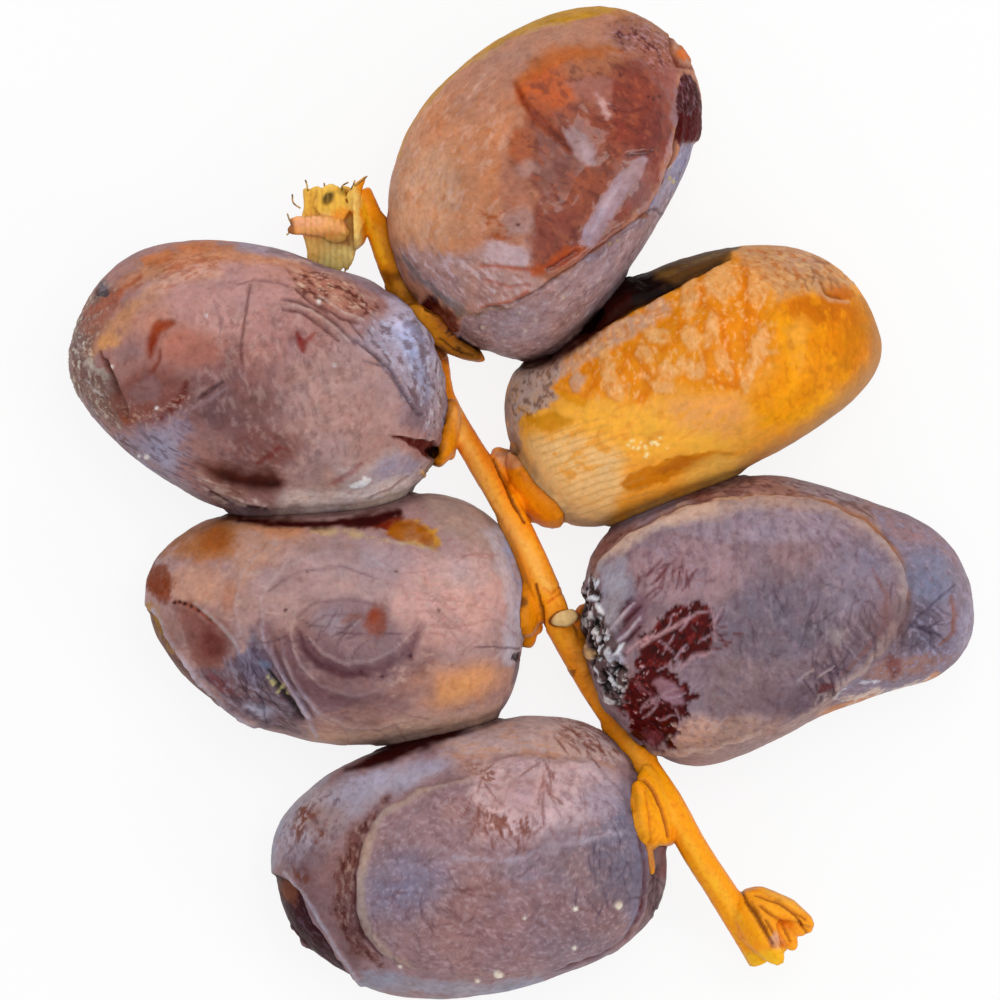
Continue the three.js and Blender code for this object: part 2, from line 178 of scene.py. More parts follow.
class Grain:
    """A smooth random field through space, about -1 to 1, the same each run."""

    def __init__(self, seed):
        draw = np.random.default_rng(seed)
        self.order = draw.permutation(CELLS)
        slopes = draw.normal(size=(CELLS, 3))
        self.slopes = slopes / np.linalg.norm(slopes, axis=1)[:, None]

    def once(self, points):
        cell = np.floor(points).astype(int)
        inside = points - cell
        ease = inside * inside * inside * (inside * (inside * 6 - 15) + 10)
        total = np.zeros(len(points))
        for corner in np.ndindex(2, 2, 2):
            place = cell + corner
            key = self.order[place[:, 0] % CELLS]
            key = self.order[(key + place[:, 1]) % CELLS]
            key = self.order[(key + place[:, 2]) % CELLS]
            reach = np.einsum("ij,ij->i", self.slopes[key], inside - corner)
            weight = np.prod(np.where(corner, ease, 1 - ease), axis=1)
            total += weight * reach
        return total * FIELD_REACH

    def layered(self, points, size, layers, keep, shift, form):
        """Layers of the field in a form, each half as large as the last and keep times as strong."""
        total = np.zeros(len(points))
        strength, whole = 1.0, 0.0
        for layer in range(layers):
            total += strength * form(self.once(points / size + shift * layer))
            whole += strength
            strength *= keep
            size /= 2
        return total / whole

    def __call__(self, points, size, layers=3, keep=0.5):
        return self.layered(points, size, layers, keep, LAYER_SHIFT, lambda field: field)

    def folds(self, points, size, layers=3, keep=0.5):
        """Sharp ridges, 1 on a ridge and 0 between them."""
        ridged = self.layered(points, size, layers, keep, FOLD_SHIFT, lambda field: 1 - np.abs(field) * 2)
        return np.clip(ridged, 0, 1)


def along_edge(x, y, start, end):
    """How far along an edge chart points lie, 0 to 1, and how far they are from it."""
    x0, y0 = start[:2]
    x1, y1 = end[:2]
    length = (x1 - x0) ** 2 + (y1 - y0) ** 2
    along = np.clip(((x - x0) * (x1 - x0) + (y - y0) * (y1 - y0)) / length, 0, 1)
    return along, np.hypot(x - x0 - along * (x1 - x0), y - y0 - along * (y1 - y0))


# Shapes on a chart, each telling how far chart points are outside its outline, in chart steps
def stroke(*path):
    """A band along points, each x, y and the band's full width there."""

    def outside(x, y):
        nearest = np.full(len(x), np.inf)
        for start, end in zip(path, path[1:]):
            along, away = along_edge(x, y, start, end)
            width = start[2] + along * (end[2] - start[2])
            nearest = np.minimum(nearest, away - width / 2)
        return nearest

    return outside


def line(width, *path):
    """A band of one width along points."""
    return stroke(*((x, y, width) for x, y in path))


def area(*corners):
    """A closed outline through points."""

    def outside(x, y):
        nearest = np.full(len(x), np.inf)
        inside = np.zeros(len(x), bool)
        for start, end in zip(corners, corners[1:] + corners[:1]):
            nearest = np.minimum(nearest, along_edge(x, y, start, end)[1])
            (x0, y0), (x1, y1) = start, end
            if y0 != y1:
                crossing = (x - x0) < (y - y0) * (x1 - x0) / (y1 - y0)
                inside ^= ((y0 > y) != (y1 > y)) & crossing
        return np.where(inside, -nearest, nearest)

    return outside


def oval(x_middle, y_middle, x_radius, y_radius, turn=0):
    """An oval, turned clockwise on the chart."""
    cosine, sine = math.cos(math.radians(turn)), math.sin(math.radians(turn))

    def outside(x, y):
        along = ((x - x_middle) * cosine + (y - y_middle) * sine) / x_radius
        across = ((y - y_middle) * cosine - (x - x_middle) * sine) / y_radius
        return (np.hypot(along, across) - 1) * math.sqrt(x_radius * y_radius)

    return outside


def read(mesh, what, kind="vertices"):
    """Places or directions from a mesh, a row for each point."""
    rows = getattr(mesh, kind)
    values = np.zeros(len(rows) * 3, np.float32)
    rows.foreach_get(what, values)
    return values.reshape(-1, 3).astype(float)


def write_places(mesh, points):
    mesh.vertices.foreach_set("co", points.astype(np.float32).ravel())
    mesh.update()


def write_colour(mesh, name, values):
    layer = mesh.attributes.new(name, "FLOAT_COLOR", "POINT")
    whole = np.ones((len(values), 4), np.float32)
    whole[:, :3] = values
    layer.data.foreach_set("color", whole.ravel())


def placed(name, data):
    """A mesh, a lamp or a camera as an object of the scene."""
    piece = bpy.data.objects.new(name, data)
    bpy.context.scene.collection.objects.link(piece)
    return piece


def applied(piece):
    """The piece with its modifiers made part of its mesh."""
    ready = piece.evaluated_get(bpy.context.evaluated_depsgraph_get())
    mesh = bpy.data.meshes.new_from_object(ready)
    piece.modifiers.clear()
    piece.data = mesh
    mesh.name = piece.name
    mesh.polygons.foreach_set("use_smooth", [True] * len(mesh.polygons))
    return piece


def fruit_form(name):
    """A fruit's solid, rounded, with small faces on the side that faces up."""
    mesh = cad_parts[name].data.copy()
    form = bmesh.new()
    form.from_mesh(mesh)
    bmesh.ops.remove_doubles(form, verts=form.verts, dist=WELD)
    wide = math.radians(JOIN_ANGLE)
    bmesh.ops.join_triangles(
        form, faces=form.faces, angle_face_threshold=wide, angle_shape_threshold=wide
    )
    form.to_mesh(mesh)
    form.free()
    mesh.materials.clear()
    piece = placed(name + "_skin", mesh)
    rounding = piece.modifiers.new("rounding", "SUBSURF")
    rounding.levels = rounding.render_levels = ROUND_LEVELS
    applied(piece)
    form = bmesh.new()
    form.from_mesh(piece.data)
    form.normal_update()
    upper = [face for face in form.faces if face.normal.z > FINE_SIDE]
    edges = list({edge for face in upper for edge in face.edges})
    bmesh.ops.subdivide_edges(form, edges=edges, cuts=FINE_CUTS, use_grid_fill=True)
    bmesh.ops.triangulate(form, faces=[face for face in form.faces if len(face.verts) > 4])
    form.normal_update()
    eased = [vert for vert in form.verts if vert.normal.z > FINE_SIDE]
    for _ in range(EASING):
        bmesh.ops.smooth_vert(
            form, verts=eased, factor=EASE, use_axis_x=True, use_axis_y=True, use_axis_z=True
        )
    for face in form.faces:
        face.smooth = True
    form.to_mesh(piece.data)
    form.free()
    return piece


class Surface:
    """A piece's fine mesh, with the paint and the relief that its marks build up."""

    # Painted shade: each piece darkens the skins near where they touch it, and is darkened by them
    shading = 1.0  # how much it darkens what it touches
    shaded = 0.9  # how much it is darkened

    def __init__(self, piece, corner, step, base, under, seed):
        """Base is the colour of its upper side, and under the two that blotch its underside."""
        base, under = paint(*base), [paint(*colour) for colour in under]
        self.piece = piece
        self.points = read(piece.data, "co")
        self.normals = read(piece.data, "vector", "vertex_normals")
        left, top = (value * MM for value in corner)
        closer = 1 + (self.points[:, 2] - VIEW_LEVEL) / EYE_DISTANCE
        seen = (self.points[:, :2] - VIEW_MIDDLE) * closer[:, None] + VIEW_MIDDLE
        self.upper = smooth(*UPPER_SIDE, self.normals[:, 2])
        self.grain = Grain(seed)
        self.broad = self.layer("broad")
        self.middling = self.layer("middling")
        self.fine = self.layer("fine")
        self.torn = self.middling + FINE_TEAR * self.fine
        self.x = (seen[:, 0] - left + EDGE_STIR * self.middling) / step
        self.y = (top - seen[:, 1] + EDGE_STIR * self.layer("edges")) / step
        self.sway_x = self.layer("sway across") * SWAY * MM / step
        self.sway_y = self.layer("sway down") * SWAY * MM / step
        self.height = np.zeros(len(self.points))
        self.wet = np.zeros(len(self.points))
        self.dust = np.full(len(self.points), 0.5)
        blotch = smooth(-BLOTCH, BLOTCH, self.broad + 0.5 * self.middling)[:, None]
        below = under[0] * (1 - blotch) + under[1] * blotch
        self.colour = below + (base - below) * self.upper[:, None]

    def layer(self, name, folded=False):
        """One of the named layers of grain over the mesh, smooth or folded into ridges."""
        shift, size, layers, keep = GRAINS[name]
        field = self.grain.folds if folded else self.grain
        return field(self.points + shift, size * MM, layers, keep)

    def lay(self, colour, share):
        """Lays a colour over the given share of each point."""
        self.colour += (paint(*colour) - self.colour) * share[:, None]

    def share(self, shape, soft, ragged, sway):
        """How far a shape with a soft ragged edge covers each point, 0 to 1."""
        edge = shape(self.x + sway * self.sway_x, self.y + sway * self.sway_y)
        return (1 - smooth(-soft, soft, edge + ragged * self.torn)) * self.upper

    def mark(
        self, shape, colour=None, amount=0.8, soft=20, ragged=24, sway=0.6, patchy=0.3,
        rise=0, wet=None, dust=None,
    ):
        """Paints a shape, and raises it, wets it or dusts it. Rise is in millimetres."""
        share = self.share(shape, soft, ragged, sway)
        if colour is not None:
            cover = share * amount * (1 + patchy * (self.fine + self.middling - 0.3))
            self.lay(colour, np.clip(cover, 0, 1))
        if wet is not None:
            self.wet += (wet - self.wet) * share
        if dust is not None:
            self.dust += (dust - self.dust) * share
        self.height += rise * MM * share

    def patches(self, *rows):
        """Paints ovals, each x, y, two radii, turn, colour, amount and softness of its edge."""
        for *form, colour, amount, soft in rows:
            self.mark(oval(*form), colour, amount, soft=soft)

    def speck(self, colour, x, y, radius, rise=0.12):
        """Sets a small raised dot on the skin."""
        shape = oval(x, y, radius, radius)
        self.mark(shape, colour, 0.95, soft=5, ragged=3, sway=0, patchy=0, rise=rise)

    def crease(self, colour, *path, depth=0.25, amount=0.85, lip=0.35):
        """A sunken line with a raised lip each side, as stroke points."""
        core = stroke(*path)(self.x, self.y)
        width = sum(point[2] for point in path) / len(path)
        edge = core + CREASE_STIR * self.fine
        share = (1 - smooth(-0.5 * width, 0.5 * width + CREASE_SOFT, edge)) * self.upper
        side = np.exp(-(((core - width) / (0.8 * width + CREASE_SOFT)) ** 2)) * self.upper
        self.lay(colour, share * amount * np.clip(0.9 + 0.8 * self.fine, 0.3, 1))
        self.height += depth * MM * (lip * side - share)

    def crinkle(self, shape, low, high, depth, size, soft=16, ragged=30, amount=0.95, wet=0.6):
        """Sharp small folds, dark between them and pale along them."""
        share = self.share(shape, soft, ragged, 0.5)
        folds = self.grain.folds(self.points + CRINKLE_SHIFT, size * MM, 3, 0.6)
        crest = smooth(0.55, 0.95, folds)[:, None]
        tone = paint(*low) * (1 - crest) + paint(*high) * crest
        self.colour += (tone - self.colour) * (share * amount)[:, None]
        self.wet += (wet - self.wet) * share
        self.height += depth * MM * share * (folds - 0.5)

    def flecks(self, shape, colour, size=0.6, cover=0.3, amount=0.8, turn=0, stretch=1, soft=40, rise=0):
        """Scatters ragged flecks of a colour, size in millimetres, drawn out along turn by stretch."""
        cosine, sine = math.cos(math.radians(turn)), math.sin(math.radians(turn))
        x, y, z = self.points.T
        across = np.stack([(x * cosine - y * sine) / stretch, x * sine + y * cosine, z], axis=1)
        field = self.grain(across + size * 0.7, size * MM, 3, 0.65)
        limit = np.quantile(field, 1 - cover)
        share = self.share(shape, soft, 24, 0.5) * smooth(limit - 0.1, limit + 0.12, field)
        self.lay(colour, share * amount)
        self.height += rise * MM * share

    def wisps(self, colour, middle, spread, count, length, turn, width=3, depth=0.06, amount=0.7):
        """Draws short bent creases scattered about a place, roughly along turn."""
        draw = np.random.default_rng(int(middle[0] + 7 * middle[1]))  # each place has its own draws
        for x, y in draw.normal(middle, spread, (count, 2)):
            path, angle = [], turn + draw.normal(0, BEND)
            for share in WISP_WIDTHS:
                path.append((x, y, width * share))
                angle += draw.normal(0, BEND)
                x += length / 3 * math.cos(math.radians(angle))
                y += length / 3 * math.sin(math.radians(angle))
            self.crease(colour, *path, depth=depth, amount=amount)

    def finish(
        self, wrinkle=0.05, swell=0.12, mottle=1.0, veins=0.4, rim=0.08, contrast=1.0, tint=(1, 1, 1)
    ):
        """Adds the overall fine relief and tone, paints shade where the skin turns down at its sides,
        spreads the tones by contrast and multiplies in a tint.
        """
        middle = np.average(self.colour, axis=0, weights=self.upper)
        self.colour = middle * np.array(tint) * (np.maximum(self.colour, DARKEST) / middle) ** contrast
        seams = self.layer("seams", folded=True)
        cracks = smooth(0.78, 0.96, self.layer("cracks", folded=True))
        cracks *= smooth(-0.15, 0.3, self.layer("cracked parts")) * self.upper
        drift = self.layer("drift")[:, None]
        self.height += swell * MM * self.broad + wrinkle * MM * (seams - 0.5) * 2
        self.height += wrinkle * MM * (0.5 * self.fine - CRACK_RELIEF * cracks)
        tone = 1 + WEAVE_TONE * mottle * self.layer("weave") - SEAM_TONE * smooth(0.7, 0.95, seams)
        self.colour *= np.maximum(tone, 0.1)[:, None]
        self.colour *= 1 + DRIFT_TONE * mottle * drift * np.array(DRIFT_TINT)
        red = self.colour * np.array(VEIN_TINT)
        self.colour += (red - self.colour) * (veins * cracks)[:, None]
        # Painted shade: the skin darkens by rim where it turns down towards its sides
        edge = smooth(0.6, 0.0, self.normals[:, 2]) * self.upper
        self.colour *= 1 - rim * edge[:, None]
        self.moved = self.points + self.normals * (self.height + PLUMP)[:, None]
        self.moved[:, 2] = np.maximum(self.moved[:, 2], 0)
        write_places(self.piece.data, self.moved)
        return self

    def write(self):
        """Writes the places and the paint to the mesh."""
        mesh = self.piece.data
        write_places(mesh, self.moved)
        write_colour(mesh, "skin", np.clip(self.colour, 0, 1))
        write_colour(mesh, "film", np.stack([self.wet, self.dust, self.upper], axis=1))


def fruit_surface(name, base, under, seed):
    return Surface(fruit_form(name), CORNERS[name], CHART_STEP, base, under, seed)


def press_together(surfaces):
    """Moves skins that nearly touch until they do, and paints shade on them towards the touch."""
    graph = bpy.context.evaluated_depsgraph_get()
    trees = [BVHTree.FromObject(surface.piece, graph) for surface in surfaces]
    boxes = [(surface.moved.min(axis=0), surface.moved.max(axis=0)) for surface in surfaces]
    pushes = []
    for surface in surfaces:
        near = np.zeros(len(surface.moved))
        push = np.zeros((len(surface.moved), 3))
        for other, tree, (low, high) in zip(surfaces, trees, boxes):
            if other is surface:
                continue
            inside = (surface.moved > low - SHADE_REACH) & (surface.moved < high + SHADE_REACH)
            for index in np.flatnonzero(inside.all(axis=1)):
                point = Vector(surface.moved[index])
                place, normal, _, distance = tree.find_nearest(point, SHADE_REACH)
                if place is None:
                    continue
                gap = place - point
                if gap.dot(normal) > 0:
                    near[index] = 1
                    continue
                near[index] = max(near[index], (1 - distance / SHADE_REACH) * other.shading)
                if distance < PRESS_REACH:
                    hold = smooth(PRESS_REACH, PRESS_FULL * PRESS_REACH, distance)
                    push[index] = gap * (0.5 + OVERLAP / max(distance, OVERLAP)) * hold
        pushes.append((near, push))
    for surface, (near, push) in zip(surfaces, pushes):
        surface.moved += push
        # Painted shade, laid towards the touch
        shade = near**SHADE_CURVE * surface.shaded
        surface.lay(CONTACT_SHADE, shade)
        surface.dust *= 1 - shade


# Skin colours, each part from 0 to 255
TAN = (188, 132, 104)
MAUVE = (166, 136, 134)
BLUE_GREY = (144, 134, 152)
PLUM = (132, 106, 116)
# Painted shade where skins touch
CONTACT_SHADE = (44, 14, 10)
BLACK = (20, 12, 14)
# White, for specks of waxy film and for a painted glint
WHITE_FILM_AND_GLINT = (214, 204, 204)
OCHRE = (176, 108, 34)
ORANGE = (250, 160, 44)
TAN_ISLAND = (234, 168, 110)
PINK_ISLAND = (210, 158, 130)


def date_top():
    """The tan date at the top, clear and wet over its heart, with an amber rim."""
    skin = fruit_surface("date_top", TAN, (MAUVE, TAN), seed=11)
    mark, patches, crease, crinkle, flecks = skin.mark, skin.patches, skin.crease, skin.crinkle, skin.flecks
    # Salmon side with its pale edge and orange flecks
    mark(oval(270, 620, 220, 330, 15), (204, 142, 104), 0.85, soft=70)
    mark(oval(190, 720, 110, 200, 10), (216, 166, 132), 0.75, soft=60)
    mark(line(60, (66, 760), (80, 640), (116, 520), (175, 410), (262, 306)), (196, 150, 122), 0.6)
    mark(area(
        (240, 330), (430, 200), (560, 150), (620, 250), (520, 380), (330, 440),
    ), (184, 134, 112), 0.7, soft=44)
    mark(oval(445, 640, 90, 170, -4), (190, 130, 96), 0.6, soft=50)
    mark(oval(520, 690, 60, 200, 0), (168, 114, 96), 0.7, soft=44)
    side = area((70, 760), (90, 560), (190, 380), (420, 240), (500, 420), (500, 800), (380, 880), (130, 870))
    flecks(side, (204, 124, 66), 1.3, 0.2, 0.36, -40, 2.2)
    flecks(side, (214, 170, 148), 0.7, 0.16, 0.5, -50, 3)
    flecks(area(
        (400, 740), (520, 720), (560, 850), (440, 900), (390, 850),
    ), (168, 84, 38), 0.5, 0.3, 0.7, 30, 2)
    # Amber rim over the top
    mark(stroke(
        (100, 560, 10), (170, 405, 18), (285, 268, 34), (430, 152, 52), (560, 84, 66), (700, 46, 76),
        (850, 32, 40), (930, 44, 20),
    ), (194, 142, 8), 0.97, soft=10, ragged=8, dust=0.1)
    mark(stroke((300, 282, 8), (440, 182, 16), (600, 104, 18), (720, 84, 10)), (196, 152, 96), 0.7, soft=7)
    mark(line(40, (890, 56), (970, 74), (1050, 116), (1110, 164)), (184, 120, 66), 0.85, soft=10)
    mark(stroke((860, 30, 6), (960, 50, 14), (1040, 88, 14), (1100, 136, 8)), (204, 138, 84), 0.8, soft=6)
    # The wet heart where the skin has gone clear
    mark(area(
        (520, 300), (580, 210), (720, 170), (850, 150), (940, 190), (900, 260), (740, 300), (620, 420),
        (560, 400),
    ), (190, 108, 54), 0.9, soft=18, ragged=26)
    heart = area(
        (560, 300), (700, 230), (850, 200), (960, 220), (1060, 320), (1085, 450), (1060, 570),
        (1000, 720), (900, 830), (760, 920), (640, 990), (585, 970), (585, 890), (570, 800),
        (600, 720), (560, 640), (500, 580), (500, 500), (560, 460),
    )
    mark(heart, (142, 76, 58), 0.93, soft=18, ragged=24, wet=0.85, dust=0.1, rise=0.1)
    patches(
        (640, 330, 100, 80, -30, (198, 100, 34), 0.9, 26),
        (800, 236, 120, 46, -12, (186, 120, 84), 0.8, 30),
        (610, 420, 50, 50, 0, (166, 84, 42), 0.8, 20),
        (880, 470, 130, 50, 20, (142, 66, 44), 0.7, 34),
        (550, 530, 62, 70, 10, (176, 96, 52), 0.9, 16),
        (970, 380, 130, 170, 10, (140, 62, 46), 0.8, 40),
        (1010, 500, 60, 110, 10, (128, 60, 54), 0.7, 30),
    )
    mark(area(
        (600, 470), (700, 500), (760, 590), (730, 700), (620, 730), (580, 640),
    ), (150, 106, 96), 0.75, soft=24, wet=0.25)
    patches(
        (690, 640, 60, 70, 0, (132, 80, 66), 0.7, 24),
        (770, 690, 90, 110, -40, (148, 78, 52), 0.75, 34),
        (690, 850, 110, 80, -40, (142, 72, 58), 0.7, 30),
        (810, 480, 60, 40, 0, (150, 76, 50), 0.7, 20),
    )
    flecks(heart, (110, 46, 34), 1.0, 0.2, 0.55, 40, 1.6)
    flecks(heart, (176, 100, 66), 0.8, 0.2, 0.5, 50, 2)
    # Haze, pale blotches and painted reflections of the lamps in the wet skin
    mark(area(
        (705, 290), (800, 270), (880, 290), (870, 410), (850, 425), (820, 370), (740, 350),
    ), (176, 116, 100), 0.8, soft=12)
    mark(stroke((812, 325, 8), (838, 370, 16), (860, 422, 10)), (200, 158, 150), 0.75, soft=7)
    mark(oval(565, 612, 34, 30), (190, 152, 140), 0.75, soft=18)
    mark(area(
        (495, 770), (560, 748), (600, 790), (590, 840), (520, 845), (490, 815),
    ), (176, 142, 134), 0.8, soft=22, ragged=30)
    # Painted reflections of the lamps: a pale patch and a long pale band over the wet skin, on top of its
    # real gloss
    mark(area(
        (697, 480), (735, 458), (780, 480), (822, 540), (822, 582), (790, 590), (745, 560), (705, 520),
    ), (170, 138, 134), 0.9, soft=7, ragged=10, wet=0.3)
    mark(area((760, 500), (800, 540), (812, 575), (780, 570)), (190, 160, 158), 0.7, soft=10)
    mark(area(
        (985, 556), (1000, 580), (975, 636), (905, 735), (835, 835), (800, 880), (756, 874), (768, 800),
        (830, 710), (915, 612),
    ), (180, 152, 156), 0.93, soft=5, ragged=3, wet=0.1)
    mark(line(14, (950, 606), (880, 690), (820, 780), (790, 850)), (196, 176, 180), 0.6, soft=9)
    crease(
        (140, 56, 12), (526, 300, 10), (552, 368, 22), (602, 424, 24), (650, 470, 26), (694, 512, 20),
        (722, 548, 6), depth=0.2, amount=0.95,
    )
    crease((110, 44, 24), (640, 462, 6), (684, 500, 12), (722, 540, 6), depth=0.05)
    crease((160, 78, 28), (628, 338, 10), (652, 290, 8), depth=0.1)
    crease((118, 50, 40), (860, 388, 8), (930, 404, 12), (1000, 384, 8), depth=0.1, amount=0.6)
    crease((84, 34, 30), (925, 560, 8), (985, 553, 14), (1010, 545, 6), depth=0.12)
    for x, y in ((900, 272), (998, 352), (1018, 362), (1040, 350), (944, 560), (586, 700), (530, 810)):
        skin.speck((84, 34, 36), x, y, 6, 0)
    # Mottled skin by the tip, with the nub where the flower was
    tip = area(
        (850, 110), (920, 66), (1020, 100), (1090, 165), (1110, 260), (1040, 260), (960, 200), (880, 170),
    )
    mark(tip, (150, 92, 80), 0.75, soft=40)
    flecks(tip, (196, 152, 150), 0.7, 0.3, 0.6, 20, 1.6, 60)
    flecks(tip, (96, 40, 44), 0.6, 0.25, 0.8, 40, 1.4)
    mark(area((1050, 220), (1110, 240), (1110, 330), (1090, 380), (1040, 300)), (162, 104, 96), 0.8, soft=14)
    mark(oval(1096, 180, 14, 36, -10), (196, 134, 100), 0.8, soft=8)
    crease((120, 50, 28), (1078, 136, 5), (1086, 190, 9), (1104, 240, 12), (1150, 246, 8), depth=0.2)
    mark(oval(1138, 192, 32, 38, 0), (216, 112, 24), 0.97, soft=8, rise=0.3, ragged=14, dust=0)
    dark = area(
        (1100, 300), (1130, 266), (1170, 300), (1200, 380), (1200, 480), (1160, 530), (1104, 520),
        (1090, 430),
    )
    crinkle(dark, (74, 24, 28), (116, 66, 74), 0.2, 0.9, soft=10, wet=0)
    flecks(dark, (158, 122, 130), 0.5, 0.1, 0.7, 70, 2, 14)
    mark(area(
        (1102, 420), (1150, 400), (1196, 420), (1190, 480), (1150, 525), (1108, 515),
    ), (96, 14, 10), 1.2, soft=10, wet=0, dust=0)
    mark(stroke(
        (1098, 300, 10), (1092, 380, 16), (1088, 450, 12), (1072, 540, 8),
    ), (176, 136, 134), 0.8, soft=7)
    # Dried brown by the cap
    hollow = stroke((70, 900, 20), (120, 980, 70), (180, 1060, 80), (240, 1120, 40))
    mark(hollow, None, rise=-0.75, soft=44, ragged=6)
    mark(oval(212, 1108, 34, 34), (74, 22, 16), 1.1, soft=12, ragged=12, dust=0)
    mark(area(
        (236, 1090), (300, 1120), (350, 1180), (380, 1250), (330, 1250), (270, 1190), (226, 1140),
    ), (104, 44, 24), 0.95, soft=14, ragged=24, dust=0)
    # The ledge along the lower right side and the wall below it
    wall = area(
        (1210, 510), (1135, 520), (1085, 600), (1035, 700), (1000, 765), (960, 797), (830, 888),
        (700, 978), (600, 1048), (500, 1100), (400, 1118), (330, 1150), (300, 1260), (420, 1360),
        (600, 1360), (850, 1180), (1000, 950), (1130, 760), (1230, 600),
    )
    mark(wall, (168, 138, 136), 0.94, soft=5, ragged=3, rise=-0.55, wet=0.05, dust=0.8)
    mark(area(
        (1200, 520), (1130, 532), (1085, 605), (1020, 715), (1010, 760), (1050, 762), (1120, 680),
        (1190, 580),
    ), (160, 150, 166), 0.85, soft=10)
    mark(line(26, (1176, 560), (1110, 690), (1050, 790)), (138, 126, 142), 0.7, soft=14)
    mark(line(26, (990, 800), (900, 862), (800, 930)), (146, 128, 134), 0.8, soft=12)
    mark(line(40, (940, 900), (820, 1010), (700, 1120)), (180, 150, 146), 0.6, soft=24)
    mark(line(30, (330, 1240), (520, 1300), (640, 1230), (790, 1100)), (140, 104, 96), 0.5, soft=24)
    mark(line(20, (330, 1136), (420, 1118), (500, 1108)), (138, 112, 70), 0.6, soft=10)
    flecks(wall, (200, 176, 172), 0.6, 0.16, 0.6, -40, 1.8)
    flecks(wall, (122, 88, 86), 0.8, 0.16, 0.5, -40, 2)
    for x, y in ((1090, 645), (1105, 660), (1084, 600), (870, 880), (905, 872)):
        skin.speck((196, 170, 120), x, y, 7, 0.05)
    crease(
        (92, 46, 40), (1110, 420, 7), (1096, 500, 8), (1074, 590, 8), (1038, 690, 9), (998, 757, 10),
        (958, 793, 10), (830, 884, 9), (700, 974, 9), (600, 1044, 8), (500, 1096, 7), (400, 1114, 6),
        depth=0.3, lip=0.8,
    )
    mark(stroke(
        (1060, 440, 14), (1050, 540, 22), (1010, 640, 22), (930, 750, 18), (850, 826, 10),
    ), (146, 64, 46), 0.8, soft=8)
    mark(stroke((1072, 520, 5), (1046, 620, 8), (1006, 710, 8), (940, 776, 6)), (190, 146, 136), 0.7, soft=4)
    crease((110, 78, 76), (996, 765, 6), (1030, 760, 9), (1056, 776, 5), depth=0.2)
    # Bloom by the cap end, with its reddish folds
    low = area(
        (90, 900), (160, 880), (280, 920), (400, 880), (480, 862), (570, 880), (583, 930), (560, 960),
        (620, 1020), (500, 1090), (400, 1110), (300, 1100), (220, 1060), (130, 990),
    )
    mark(low, (180, 146, 140), 0.88, soft=22, dust=0.9)
    flecks(low, (154, 112, 104), 0.9, 0.3, 0.6, 40, 3)
    flecks(low, (208, 182, 182), 0.6, 0.2, 0.6, 50, 3)
    mark(area(
        (420, 880), (460, 862), (556, 876), (578, 930), (562, 958), (470, 944), (410, 920),
    ), (196, 168, 168), 0.85, soft=6, ragged=12)
    crease((170, 88, 58), (400, 956, 6), (500, 960, 9), (600, 974, 12), depth=0.15)
    mark(stroke(
        (596, 985, 20), (650, 950, 40), (710, 912, 40), (760, 880, 20),
    ), (182, 84, 30), 0.9, soft=12, wet=0.5)
    crease((110, 34, 12), (640, 968, 6), (690, 936, 14), (740, 900, 8), depth=0.2)
    crease((170, 96, 74), (404, 1102, 6), (500, 1082, 8), (570, 1046, 6), depth=0.12)
    crease((166, 92, 70), (420, 1006, 5), (500, 1032, 7), (570, 1024, 5), depth=0.1, amount=0.7)
    mark(line(26, (110, 930), (180, 1015), (250, 1075), (330, 1120)), (118, 112, 110), 0.75, soft=12)
    for x, y in ((400, 1190), (540, 1140), (600, 1165), (480, 1240), (560, 1205), (700, 1080)):
        skin.speck((206, 180, 160), x, y, 7, 0.05)
    # Soft veils over the larger patches
    patches(
        (560, 1190, 130, 70, -20, (176, 146, 142), 0.5, 42),
        (745, 1245, 60, 36, -30, (170, 128, 112), 0.5, 42),
        (950, 650, 60, 90, 0, (148, 116, 116), 0.5, 42),
        (850, 850, 50, 40, 0, (132, 78, 64), 0.5, 42),
    )
    return skin.finish(contrast=1.18, tint=(0.93, 0.9, 0.93))


